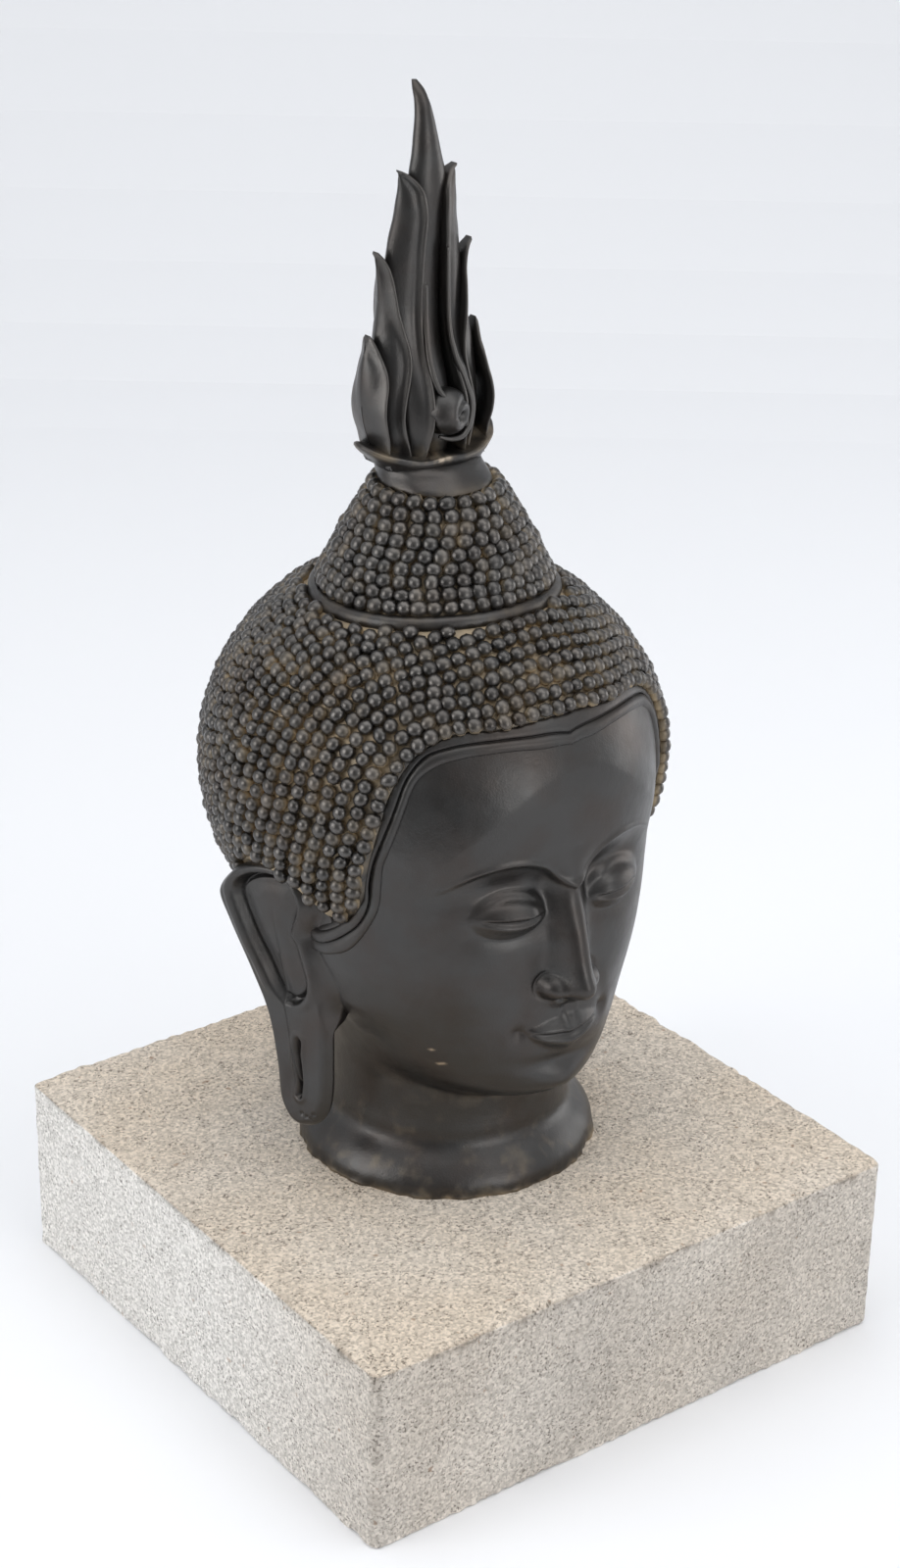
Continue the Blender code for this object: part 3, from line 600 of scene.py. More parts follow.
def plinth_rings(settings):
    """The block as rings round its upright axis. Each ring is a rounded square: a square's outline whose
    corners are arcs of the corner radius. Going up, the rings leave the underside's middle, turn over the
    lower arris, climb the sides, turn over the upper arris and close in on the top's middle. Noise wears
    both arrises unevenly, and some chips bite deeper. One layer holds the warm soiling of the top, the
    other the dirt along the upper arris and the corners, and both also paint shade on the front face."""
    (x0, y0, z0), (x1, y1, z1) = PLINTH_BOX
    half, corner, arris = (x1 - x0) / 2, settings.corner * 1000, settings.arris * 1000
    straight = np.linspace(-1, 1, 200, endpoint=False)
    arc = np.linspace(0, np.pi / 2, 10, endpoint=False)
    side = np.concatenate((
        np.stack((straight * (half - corner), 0 * straight - half), axis=1),
        np.stack((half - corner + corner * np.sin(arc), -half + corner - corner * np.cos(arc)), axis=1),
    ))
    ring = np.concatenate([side @ np.array(((c, s), (-s, c))) for c, s in ((1, 0), (0, 1), (-1, 0), (0, -1))])
    inward = -ring / np.linalg.norm(ring, axis=1)[:, None]
    edge = np.stack((ring[:, 0], ring[:, 1], 0 * ring[:, 0]), axis=1)
    levels = []
    for height, way, seed in ((z0, 1, 3), (z1, -1, 11)):
        wear = arris * (1 + 0.225 * ripple(edge, 9, seed) + 0.25 * ripple(edge, 31, seed + 1))
        deep = settings.chips * 1000 * np.clip(ripple(edge, 21, seed + 2) - 1.25, 0, 1) ** 0.7
        wear = np.clip(wear + deep, 0.6, None)
        for turn in np.linspace(0, np.pi / 2, 7):
            levels.append((height + way * wear * (1 - np.cos(turn)), wear * (1 - np.sin(turn))))
    low, high = levels[:7], levels[7:][::-1]
    walls = [(mix(low[-1][0], high[0][0], share), 0 * low[0][1]) for share in np.linspace(0, 1, 32)[1:-1]]
    shrink = [(z1 + 0 * low[0][1], high[-1][1] + inset) for inset in (1.5, 4, 9, 18, 36, 72, 120, 170)]
    base = [(z0 + 0 * low[0][1], low[0][1] + inset) for inset in (170, 90, 30, 8)]
    rings = []
    for height, inset in base + low + walls + high + shrink:
        drawn = ring * (1 - inset / half)[:, None]
        rings.append(np.concatenate((drawn, height[:, None]), axis=1))
    grid = np.array(rings)
    rough = 0.12 * ripple(grid, 5, 21) + 0.1 * ripple(grid, 14, 22)
    wall_from = len(base) + len(low)
    top_from = wall_from + len(walls)
    on_side = np.zeros(len(rings))
    on_side[wall_from:top_from] = 1
    grid[..., :2] -= inward * (rough - 0.25)[..., None] * on_side[:, None, None]
    # How far each side faces the front: both layers darken the front face with painted shade
    front = np.clip(inward[:, 1] * 1.3, 0, 1) ** 2
    weathered = np.broadcast_to(0.1 + 0.5 * front, grid.shape[:2]).copy()
    weathered[top_from + 3 :] = 1
    grime = np.zeros(grid.shape[:2])
    grime[top_from : top_from + 6] = np.array((0.25, 0.5, 0.6, 0.5, 0.3, 0.1))[:, None]
    far = np.abs(ring)
    off_corner = np.minimum(half - far[:, 0], half - far[:, 1]) + np.abs(far[:, 0] - far[:, 1])
    grime[len(base) + 2 : top_from] += 0.3 * bell(off_corner, 5)
    grime *= np.clip(0.6 + 0.45 * ripple(grid, 26, 24), 0, 1)
    # Painted shade over the sides of the front face
    upright = (grid[..., 2] > z0 + 2) & (grid[..., 2] < z1 - 2)
    grime = np.clip(grime + front * (0.3 + 0.05 * ripple(grid, 120, 25)) * upright, 0, 1)
    return grid, weathered, grime


def build_plinth(settings):
    """The block as one piece, with its layers of weathering and dirt, which also carry painted shade on the
    front face.
    """
    grid, weathered, grime = plinth_rings(settings)
    points, faces = grid_shell(grid)
    return make_piece(
        "plinth_block", points, faces, granite(settings), "granite_plinth",
        {"weathered": with_ends(weathered), "grime": with_ends(grime)},
    )


# Head


def temple_width(back, up):
    """Share of its width that the cap keeps at a direction from its centre: a little less at the temples."""
    low = np.clip((0.55 - up) / 0.5, 0, 1)
    return 1 - TEMPLE_FLATTENING * bell(back + 0.6, 0.35) * low**2 * (3 - 2 * low)


def cap_radius(turn, height):
    """Distance from the head's axis to the scalp's ellipsoid, at a turn from the front and a height."""
    level = np.clip(1 - ((height - CAP_CENTRE[2]) / CAP_RADII[2]) ** 2, 0.02, None) ** 0.5
    wide, deep = CAP_RADII[0] * level, CAP_RADII[1] * level
    across, ahead = np.sin(turn) / wide, np.cos(turn) / deep
    offset = CAP_CENTRE[1] / deep
    square = across**2 + ahead**2
    inner = (ahead * offset) ** 2 - square * (offset**2 - 1)
    radius = (-ahead * offset + np.clip(inner, 0, None) ** 0.5) / square
    return radius * temple_width(-np.cos(turn), (height - CAP_CENTRE[2]) / CAP_RADII[2])


def skin_radius(turn, height):
    """Distance from the head's axis to the skin: superellipses for the face and circles for the neck,
    blended by a power mean, with a swell at the jaw's angle, and kept under the hair above the eyes."""
    wide, front, back = np.moveaxis(smooth_through(height, SKIN[:, 0], SKIN[:, 1:]), -1, 0)
    deep = np.where(np.cos(turn) > 0, front, back)
    power = np.where(np.cos(turn) > 0, FACE_SQUARENESS, 2.0)
    face = ((np.abs(np.sin(turn)) / wide) ** power + (np.abs(np.cos(turn)) / deep) ** power) ** (-1 / power)
    neck = smooth_through(height, NECK[:, 0], NECK[:, 1]) - NECK_Y * np.cos(turn)
    face = np.where(height < SKIN[0, 0], 1.0, face)
    neck = np.where(height > NECK[-1, 0], 1.0, neck)
    blended = (face**BLEND_POWER + neck**BLEND_POWER) ** (1 / BLEND_POWER)
    around = np.abs((turn + np.pi) % (2 * np.pi) - np.pi)
    jaw = bell(around - JAW_TURN, JAW_REACH) * ease((height - 106) / 34) * ease((222 - height) / 60)
    blended = blended + JAW_ANGLE * jaw
    under_hair = np.minimum(blended, cap_radius(turn, height) - SKIN_UNDER_HAIR)
    return mix(blended, under_hair, ease((height - EYE) / 30))


def nose(x, z):
    """A ridge whose height runs down the face, a ball at its tip, and a half ellipsoid for each wing, joined
    by a power mean. A groove runs round the wings, and two pits are the nostrils."""
    side = np.abs(x)
    heights = (142, 146, 150, 154, 160, 170, 185, 205, 223, BROW, BROW + 14)
    ridge = smooth_through(z, heights, (0, 4, 12, 20, 23.5, 21, 16.5, 11, 6.5, 3.5, 0))
    wide = smooth_through(z, (142, 156, 170, 190, 210, 225, BROW + 14), (13, 13.5, 11.5, 10.5, 10, 11, 15))
    body = ridge * np.exp(-((side / wide) ** 2.6)) + 1.6 * hump(x, z - 162, 9, 9)
    reach = ((side - 13) / 8.5) ** 2 + ((z - 159) / 8.5) ** 2
    wing = 13 * np.clip(1 - reach, 0, 1) ** 0.5
    joined_up = (np.clip(body, 0, None) ** 4 + wing**4) ** 0.25
    groove = -1.6 * bell(reach**0.5 - 1.12, 0.16) * ease((side - 11) / 5)
    nostril = -8 * hump(side - 7.6, z - 151.5, 3.6, 3.2)
    return joined_up + groove + nostril


def eyes(x, z):
    """A socket under the brow, an ellipsoid for the lidded ball, an opening between two curved lid edges
    that is sunk behind them, a crease over the upper lid and a faint one under the lower."""
    side = np.abs(x)
    along = (side - EYE_X) / 19.5
    level = EYE - 2.5 + 0.05 * (side - EYE_X)
    open_share = np.clip(1 - along**2, 0, 1)
    upper = level + 1.6 * open_share
    lower = level - 3.2 * open_share
    near = np.exp(-(along**6))
    socket = -6.5 * hump(side - 38, z - (BROW - 7), 25, 11) - 4.5 * hump(side - 17, z - 219, 8, 13)
    socket -= 3.0 * hump(side - 36, z - 199, 22, 8)
    ball = 8.5 * np.clip(1 - ((side - EYE_X) / 24) ** 2 - ((z - EYE + 1) / 16) ** 2, 0, 1) ** 0.9
    between = ease((upper - z) / 1.3 + 0.5) * ease((z - lower) / 1.3 + 0.5)
    sunk = -2.8 * between * np.exp(-((along / 1.2) ** 8))
    rims = (bell(z - upper - 1.6, 1.3) + 0.8 * bell(z - lower + 1.5, 1.3)) * near
    fold = upper + 2.5 + 8.5 * np.clip(1 - (along / 1.15) ** 2, 0, 1) ** 0.7
    crease = -2.0 * bell(z - fold, 1.6) * np.exp(-((along / 1.15) ** 6))
    bag = -0.5 * bell(z - lower + 7 - 2 * along**2, 2.0) * near
    return socket + ball + sunk + rims + crease + bag


def brows(x, z):
    """A crisp low ridge along an arch, and a step down under it into the socket."""
    side = np.abs(x)
    arch = BROW + smooth_through(side, (0, 8, 20, 42, 62, 84), (-10, -6, 5, 11.5, 7, -7))
    fade = np.exp(-((side / 74) ** 8))
    ridge = 1.9 * bell(z - arch, 2.1)
    step = -2.2 * ease((arch - z) / 5) * ease((z - arch + 32) / 24)
    return (ridge + step) * fade


def mouth(x, z):
    """A broad mound, on it two lips that each swell from the line between them to a crisp border, a groove
    from nose to lip, pits at the corners and a hollow over the chin."""
    side = np.abs(x)
    reach = np.clip(1 - (side / 30) ** 2, 0, 1)
    line = MOUTH + 3.0 * (side / 28) ** 2 - 0.9 * bell(x, 5)
    bow = 1.9 * bell(x, 3.6)
    top = line + 10.2 * np.clip(1 - (side / 30) ** 1.7, 0, 1) - bow + 0.01
    foot = line - 12.0 * np.clip(1 - (side / 27) ** 2, 0, 1) ** 0.8 - 0.01
    over = np.clip((z - line) / (top - line), 0, 1)
    under = np.clip((line - z) / (line - foot), 0, 1)
    upper = 5.4 * (1 - 0.3 * np.clip(1 - over / 0.35, 0, 1) ** 2 - 0.74 * ease((over - 0.3) / 0.7))
    lower = 6.4 * (1 - 0.3 * np.clip(1 - under / 0.4, 0, 1) ** 2 - 0.82 * ease((under - 0.35) / 0.65))
    above = ease((z - line) / 1.6 + 0.5)
    lips = reach**0.6 * (
        above * upper * ease((top - z) / 2.4 + 0.5) + (1 - above) * lower * ease((z - foot) / 2.4 + 0.5)
    )
    border = 0.7 * bell(z - top, 1.1) * reach**0.5
    mound = 6.5 * hump(x, z - MOUTH, 40, 28)
    groove = -2.2 * bell(z - line, 1.2) * np.exp(-((side / 31) ** 8))
    corners = -2.6 * hump(side - 31.5, z - MOUTH - 3, 5, 6) + 1.0 * hump(side - 39, z - MOUTH - 2, 6, 9)
    philtrum = -1.3 * bell(x, 3.3) + 0.7 * bell(side - 6.5, 2.6)
    philtrum = philtrum * ease((z - top) / 4) * ease((150 - z) / 5)
    hollow = -3.0 * hump(x, z - 103, 24, 6)
    return mound + lips + border + groove + corners + philtrum + hollow


def face_relief(x, z):
    """How far the face stands in front of the head's plain form: the sum of the features, a mound for the
    chin and for each cheek, and a faint fold from nose to mouth."""
    side = np.abs(x)
    chin = 6.5 * hump(x, z - (CHIN + 18), 21, 13) + 0.8 * hump(x, z - (CHIN + 15), 9, 8)
    cheeks = 3.2 * hump(side - 54, z - (NOSE_BASE + 16), 26, 28)
    fold = -0.9 * bell(side - 25 - (160 - z) * 0.28, 5) * ease((z - 132) / 12) * ease((168 - z) / 12)
    return nose(x, z) + eyes(x, z) + brows(x, z) + mouth(x, z) + chin + cheeks + fold


def softened(layer):
    """A layer on the skin's grid, averaged with its neighbours. The first and last row stay as they are."""
    layer = (np.roll(layer, 1, axis=1) + 2 * layer + np.roll(layer, -1, axis=1)) / 4
    layer[1:-1] = (layer[:-2] + 2 * layer[1:-1] + layer[2:]) / 4
    return layer


def sunk_under_hair(points):
    """The skull drawn in where the hair covers it, so that skin and hair meet only along the hairline."""
    ray = (points - CAP_CENTRE) / CAP_RADII
    turn = np.arctan2(-ray[..., 0], ray[..., 2])
    spread = np.arccos(-ray[..., 1] / np.linalg.norm(ray, axis=-1))
    covered = (spread - hair_edge(turn)) * CAP_RADII[0] + 1.0
    draw = 0.12 * np.clip(covered / 16, 0, 1)
    return CAP_CENTRE + (points - CAP_CENTRE) * (1 - draw[..., None])


def hair_edge(turn):
    """The hair's edge: its angle away from the front axis at a turn round it, all the way to the nape."""
    degrees = np.degrees(np.abs((turn + np.pi) % (2 * np.pi) - np.pi))
    line = np.array(STRIP_HAIR_EDGE[:-2] + tuple(zip(NAPE_TURN, NAPE_SPREAD)))
    return np.radians(smooth_through(degrees, line[:, 0], line[:, 1]))


def skin_grid():
    """Rings round the head at rising heights, closer over the face, with the face's relief pushed forwards.
    The foot of the neck is uneven."""
    even = circle(360)
    turns = even - 0.6 * np.sin(even)
    heights = np.concatenate((
        np.linspace(0, 6, 6), np.arange(8, 60, 2.6), np.arange(60.5, 100, 1.2), np.arange(100, 262, 1.0),
        np.arange(262, 330, 2.6), np.arange(331, 372, 4.5),
    ))
    turn, height = np.meshgrid(turns, heights)
    radius = skin_radius(turn, height)
    x, y = radius * np.sin(turn), -radius * np.cos(turn)
    ahead = np.clip(np.cos(turn) * 1.6, 0, 1) ** 1.5
    y = y - softened(face_relief(x, height)) * ahead
    grid = np.stack((x, y, height), axis=-1)
    foot = np.exp(-height / 3.5)
    uneven = 1 - (foot * (0.008 + 0.008 * ripple(grid * (1, 1, 0), 23, 5) + 0.004 * ripple(grid, 8, 6)))
    grid[..., :2] *= uneven[..., None]
    return sunk_under_hair(grid), turn, height


def build_skin(settings):
    """The face and neck as one piece. Dirt lies at the neck's foot and under the jaw, and there are two
    chips in the patina of the right cheek."""
    grid, turn, height = skin_grid()
    jaw = bell(height - 66, 14) * np.clip(np.cos(turn), 0, 1)
    blotches = np.clip(ripple(grid, 26, 7) + 0.7 * ripple(grid, 8, 8), 0, 1.5) * ease((62 - height) / 30)
    soil = np.clip(0.55 * np.exp(-height / 3.0) + 0.18 * jaw + 0.13 * blotches, 0, 1)
    pale = sum(bell(distance_to_line(grid[..., 1:], chip, False), 0.75) for chip in CHEEK_CHIPS)
    return head_piece(
        "face_and_neck", grid_shell(grid), black_patina("bronze, black patina, face", settings, 0.36),
        {"soil": with_ends(soil), "pale": with_ends(pale * (grid[..., 0] < 0))},
    )


def on_cap(turn, spread, proud):
    """A point over the scalp, at a turn round the front axis and an angle away from it."""
    ray = np.stack((-np.sin(spread) * np.sin(turn), -np.cos(spread), np.sin(spread) * np.cos(turn)), axis=-1)
    ray[..., 0] *= temple_width(ray[..., 1], ray[..., 2])
    return CAP_CENTRE + ray * (CAP_RADII + np.asarray(proud)[..., None])


def cap_normal(points):
    """Outward directions of the scalp's ellipsoid at points on it."""
    out = (points - CAP_CENTRE) / CAP_RADII**2
    return out / np.linalg.norm(out, axis=-1)[..., None]


def cap_height(x, y):
    """Height of the scalp's ellipsoid over a place."""
    inside = 1 - (x / CAP_RADII[0]) ** 2 - ((y - CAP_CENTRE[1]) / CAP_RADII[1]) ** 2
    return CAP_CENTRE[2] + CAP_RADII[2] * inside**0.5


def build_scalp(material):
    """The ellipsoid under the curls: rings round the front axis, from a tuck under the hairline to a point
    at the back. It is drawn in under the ears, and cleaner beside the hairline."""
    turns = circle(240)
    edge = hair_edge(turns)
    shares = np.linspace(0, 1, 60, endpoint=False)
    tuck = on_cap(turns, edge - 0.05, np.full(240, -15.0))
    grid = np.array([tuck] + [on_cap(turns, mix(edge, np.pi, share), np.zeros(240)) for share in shares])
    outline = closed_curve(EAR_OUTLINE, 120)
    flat = grid[..., 1:]
    under = distance_to_line(flat, outline, True) * np.where(inside_outline(flat, outline), 1, -1)
    grid[..., 0] -= np.sign(grid[..., 0]) * 13 * ease((under + 1) / 7) * (np.abs(grid[..., 0]) > 60)
    from_edge = np.concatenate((np.zeros(1), shares))[:, None] * (np.pi - edge) * CAP_RADII[0]
    soil = mix(0.3, SOILED, ease((from_edge - 3) / 9))
    return head_piece("scalp", grid_shell(grid), material, {"soil": with_ends(soil)})


def curl_shape():
    """One curl as a share of its width and height: rings of eight points that leave the scalp narrow, swell
    to a ball and close on its top. It gives the points, the faces, and how soiled each point is."""
    turns = circle(8)
    rings = [
        np.stack((r * np.cos(turns), r * np.sin(turns), 0 * turns + h), axis=1) for r, h in CURL_PROFILE
    ]
    points = np.concatenate(rings + [np.array(((0, 0, 1.03),))])
    here = np.arange(32).reshape(4, 8)
    after = np.roll(here, -1, axis=1)
    quads = np.stack((here[:-1], after[:-1], after[1:], here[1:]), axis=-1).reshape(-1, 4)
    top = np.stack((here[-1], after[-1], np.full(8, 32)), axis=-1)
    soil = np.append(np.repeat(CURL_SOIL, 8), 0.0)
    return points, quads, top, here[0][::-1], soil


def scatter_curls(name, places, outs, settings, material, seed, grow=1.0):
    """One curl at each place, standing on its outward direction, each a little unlike its neighbours in
    place, width, height, tilt and turn. Their points are one array: place + width and height times the
    curl's own."""
    seeded = np.random.default_rng(seed)
    shape, quads, top, base, soil = curl_shape()
    count = len(places)
    outs = outs + seeded.normal(0, 0.07, (count, 3))
    outs /= np.linalg.norm(outs, axis=1)[:, None]
    side = np.cross(outs, seeded.normal(size=(count, 3)))
    side /= np.linalg.norm(side, axis=1)[:, None]
    ahead = np.cross(outs, side)
    width = settings.curl_width * 500 * grow * seeded.normal(1, 0.045, (count, 1, 1))
    squash = seeded.normal(1, 0.05, (count, 1, 1))
    height = settings.curl_height * 1000 * grow * seeded.normal(1, 0.06, (count, 1, 1))
    x, y, z = (shape[None, :, i : i + 1] for i in range(3))
    points = places[:, None] + side[:, None] * x * width * squash + ahead[:, None] * y * width / squash
    points = points + outs[:, None] * z * height
    shift = (np.arange(count) * len(shape))[:, None, None]
    faces = (quads + shift).reshape(-1, 4).tolist() + (top + shift).reshape(-1, 3).tolist()
    faces += (base + shift[:, 0]).tolist()
    soiled = soil[None] * seeded.normal(1, 0.25, (count, 1)) + seeded.uniform(0, 0.24, (count, 1))
    worn = np.clip((shape[None, :, 2] - 0.6) * 1.2, 0, 1) * seeded.uniform(0.1, 1.0, (count, 1))
    layers = {"soil": np.clip(soiled, 0, 1).ravel(), "worn": worn.ravel()}
    return head_piece(name, (points.reshape(-1, 3), faces), material, layers)


def row_start(degrees):
    """The angle away from the front axis of the line that the rows of curls run along."""
    line = np.array([point for point in STRIP_HAIR_EDGE if point[0] < 110] + list(zip(ROW_TURN, ROW_SPREAD)))
    return smooth_through(np.abs(degrees), line[:, 0], line[:, 1])


def cap_curl_places(settings):
    """Rows of curls along the hairline. Row k keeps its distance k times the row pitch from the hairline,
    and the later rows are drawn towards a point at the back. Along a row the curls stand evenly, by its
    length."""
    seeded = np.random.default_rng(4)
    fine = np.linspace(-180, 180, 1441)
    last = FIRST_ROW + np.degrees(settings.row_pitch) * (settings.rows - 1)
    places = []
    for k in range(settings.rows):
        pull = np.clip((k - 12) / (settings.rows - 13), 0, 1) ** 1.5
        spread = row_start(fine) + FIRST_ROW + np.degrees(settings.row_pitch) * k
        spread = spread + (180 - row_start(fine) - last) * pull
        line = on_cap(np.radians(fine), np.radians(spread), np.zeros(len(fine)))
        walked = np.concatenate(([0], np.cumsum(np.linalg.norm(np.diff(line, axis=0), axis=1))))
        count = max(1, round(walked[-1] / (settings.curl_pitch * 1000)))
        at = (np.arange(count) + seeded.uniform()) * walked[-1] / count
        at = at + seeded.normal(0, 0.3, count)
        turn = np.interp(at, walked, fine)
        away = np.interp(at, walked, spread) + seeded.normal(0, 0.12, count)
        kept = np.radians(away) > hair_edge(np.radians(turn)) + np.radians(1.0)
        places.append(on_cap(np.radians(turn[kept]), np.radians(away[kept]), np.zeros(kept.sum())))
    places = np.concatenate(places)
    from_crown = np.hypot(places[:, 0], places[:, 1] - USHNISHA_Y)
    clear = (from_crown > USHNISHA_FOOT_RADIUS + CURLS_OFF_BAND) | (places[:, 2] < CAP_CENTRE[2])
    outline = closed_curve(EAR_OUTLINE, 120)
    flat = places[:, 1:]
    apart = 1.5 + 4.0 * ease((flat[:, 1] - 186) / 16) * ease((45 - flat[:, 0]) / 12)
    ear = inside_outline(flat, outline) | (distance_to_line(flat, outline, True) < apart)
    return places[clear & ~(ear & (np.abs(places[:, 0]) > 90))]


def ushnisha_profile(share, foot):
    """Radius and height of the cone's face at a share of its height."""
    radius = USHNISHA_TOP_RADIUS + (USHNISHA_FOOT_RADIUS - USHNISHA_TOP_RADIUS) * (1 - share) ** 0.86
    return radius, foot + 3 + (HEAD_TOP - 5 - foot) * share


def ushnisha_ring(radius, height, turns):
    """Points on a circle round the cone's axis, at turns from the front."""
    x, y = radius * np.sin(turns), USHNISHA_Y - radius * np.cos(turns)
    return np.stack((x, y, 0 * turns + height), axis=-1)


def build_ushnisha(settings, dirty, smooth):
    """The cone on the crown: a soiled cone with nine rows of larger curls, over a smooth rounded band. Both
    are profiles carried round the cone's own upright axis, and the band's foot follows the cap."""
    turns = circle(160)
    edge = ushnisha_ring(USHNISHA_FOOT_RADIUS, 0, turns)
    foot = cap_height(edge[:, 0], edge[:, 1])
    rings = [ushnisha_ring(USHNISHA_FOOT_RADIUS - 12, foot - 25, turns)]
    for share in np.linspace(0, 1, 24):
        radius, height = ushnisha_profile(share, foot)
        rings.append(ushnisha_ring(radius - CURL_SUNK, height, turns))
    rings.append(ushnisha_ring(USHNISHA_TOP_RADIUS - 6, np.full(160, HEAD_TOP - 0.5), turns))
    band = [ushnisha_ring(USHNISHA_FOOT_RADIUS + out, foot + up, turns) for out, up in USHNISHA_BAND]
    for name, grid, material, soil in (
        ("ushnisha_cone", np.array(rings), dirty, SOILED), ("ushnisha_band", np.array(band), smooth, 0.15),
    ):
        head_piece(name, grid_shell(grid), material, {"soil": with_ends(np.full(grid.shape[:2], soil))})
    seeded = np.random.default_rng(8)
    places, outs = [], []
    for row in range(9):
        share = (row + 0.62) / 8.8
        count = int(round(mix(49, 23, share)))
        around = (np.arange(count) + seeded.uniform()) * 2 * np.pi / count
        around = around + seeded.normal(0, 0.006, count)
        edge = ushnisha_ring(USHNISHA_FOOT_RADIUS, 0, around)
        radius, height = ushnisha_profile(share, cap_height(edge[:, 0], edge[:, 1]))
        places.append(ushnisha_ring(radius - CURL_SUNK, height, around))
        outs.append(np.stack((np.sin(around) * 0.84, -np.cos(around) * 0.84, np.full(count, 0.5)), axis=-1))
    scatter_curls("ushnisha_curls", np.concatenate(places), np.concatenate(outs), settings, dirty, 9, 1.08)


def on_skin(turn, spread):
    """Where a ray from the cap's centre leaves the plain skin, found by halving the span that holds it."""
    ray = on_cap(turn, spread, np.zeros(turn.shape)) - CAP_CENTRE
    near, far = np.full(turn.shape, 0.5), np.full(turn.shape, 1.3)
    for _ in range(26):
        middle = (near + far) / 2
        point = CAP_CENTRE + ray * middle[..., None]
        skin = skin_radius(np.arctan2(point[..., 0], -point[..., 1]), point[..., 2])
        within = np.hypot(point[..., 0], point[..., 1]) < skin
        near, far = np.where(within, middle, near), np.where(within, far, middle)
    return CAP_CENTRE + ray * near[..., None]


def hairline_strip(first, second, profile):
    """A closed strip between two lines on the skin: a profile of (share across, height) carried from ear to
    ear, over a sunken underside."""
    along = np.linspace(-16, 16, 321)
    lines = []
    for line in (first, second):
        at = smooth_through(np.abs(along), np.arange(17), line)
        lines.append(np.radians(at * np.stack((np.sign(along), np.ones(len(along))), axis=-1)))
    columns = []
    for share, lift in profile:
        turn, spread = np.moveaxis(mix(lines[0], lines[1], share), -1, 0)
        place = on_skin(turn, spread)
        columns.append(place + cap_normal(place) * lift)
    return grid_shell(np.stack(columns, axis=1))


def build_hairline(settings, material):
    """The two strips along the hairline as one piece: a flat one beside the hair, a rounder one below it."""
    high = settings.strip_height * 1000
    flat = [(0.0, high * 0.5), (0.08, high * 0.9), (0.25, high), (0.5, high), (0.75, high * 0.95),
            (0.9, high * 0.7), (0.97, high * 0.3), (1.0, -1.2), (1.0, -4), (0.0, -4)]
    rounded = [(0.0, -1.2), (0.03, high * 0.3), (0.12, high * 0.68), (0.3, high * 0.95), (0.5, high),
               (0.7, high * 0.85), (0.88, high * 0.45), (0.97, high * 0.1), (1.0, -0.6), (1.0, -4), (0.0, -4)]
    upper = hairline_strip(STRIP_HAIR_EDGE, STRIP_GROOVE, flat)
    lower = hairline_strip(STRIP_GROOVE, STRIP_FACE_EDGE, rounded)
    return head_piece("hairline_strips", joined([upper, lower]), material)


# Ears


def spine_points(outline):
    """For each point of the ear's outline, the point of its straight spine at that height."""
    low, high = np.array(EAR_SPINE, float)
    share = np.clip((outline[:, 1] - low[1]) / (high[1] - low[1]), 0, 1)[:, None]
    return low + share * (high - low)


def ear_back(flat, outline):
    """Height of the ear's back over its plate: flat, with a rounded edge."""
    rim = distance_to_line(flat, outline, True)
    return -EAR_THICKNESS / 2 * (1 - (1 - np.clip(rim / 5, 0, 1)) ** 2.2)


def ear_relief(flat, outline):
    """Height of the ear's outer face over its plate: a rounded edge, a rolled rim that ends in a small
    tongue in front, a groove round a low convex floor, and a slit with a shallow dip behind it in the
    lobe."""
    hollow = closed_curve(EAR_HOLLOW, 160)
    rim = distance_to_line(flat, outline, True)
    into = distance_to_line(flat, hollow, True) * np.where(inside_outline(flat, hollow), 1, -1)
    edge = 1 - (1 - np.clip(rim / 6, 0, 1)) ** 2.4
    upper = ease((flat[..., 1] - 122) / 16)
    rolled = 1.8 * bell(into + 4, 3.0) * upper
    crus = 2.4 * bell(distance_to_line(flat, EAR_CRUS, False), 3.4)
    sink = -8.5 * ease((into + 0.8) / 2.2) + 4.2 * ease((into - 1.9) / 2.6) + 1.8 * ease((into - 4) / 11)
    slit = distance_to_line(flat, LOBE_SLIT, False)
    cut = -6.0 * bell(slit, 1.7) + 0.9 * bell(slit - 3.8, 1.8)
    dip = -2.6 * hump(flat[..., 0] + 1.5, flat[..., 1] - 74, 5, 13)
    pits = sum(-1.2 * hump(flat[..., 0] - y, flat[..., 1] - z, 1.2, 1.2) for y, z in LOBE_PITS)
    return (EAR_THICKNESS / 2) * edge + rolled + crus + sink + cut + dip + pits


def cheek_x(y, z):
    """Half width of the plain skin at a place behind the face's front, found by stepping on the turn."""
    x = np.full(y.shape, 100.0)
    for _ in range(12):
        x = np.clip(skin_radius(np.arctan2(x, -y), z) ** 2 - y**2, 900, None) ** 0.5
    return x


def ear_shell(side):
    """One ear: its outline drawn in on a spine in rings, over the back of its plate and over its front. In
    front of an edge that depends on the height, the outer face glides down under the cheek over a given
    width."""
    outline = closed_curve(EAR_OUTLINE, 260)
    spine = spine_points(outline)
    wing = np.array(EAR_WING, float)
    front_shares = 1 - (1 - np.cos(np.linspace(0, np.pi / 2, 60))) * 0.98
    grid = []
    for shares, relief, under, low, rise, early in (
        ((0.1, 0.5, 0.85, 0.95), ear_back, 8, 108, 30, 0.6), (front_shares, ear_relief, 1.5, 110, 34, 0.0),
    ):
        for share in shares:
            flat = spine + (outline - spine) * share
            back, up = flat[:, 0], flat[:, 1]
            x = EAR_FRONT_X + EAR_SLANT * (back - EAR_FRONT) + relief(flat, outline)
            edge, wide = np.moveaxis(smooth_through(up, wing[:, 0], wing[:, 1:]), -1, 0)
            sunk = np.minimum(cheek_x(back, up) - under, x)
            x = mix(x, sunk, ease((up - low) / rise) * ease((edge - back) / wide + early))
            grid.append(np.stack((side * x, back, up), axis=1))
    return grid_shell(np.array(grid))


def build_ears(material):
    """The two ears, each a piece of its own."""
    for name, side in (("ear_right", -1), ("ear_left", 1)):
        head_piece(name, ear_shell(side), material)


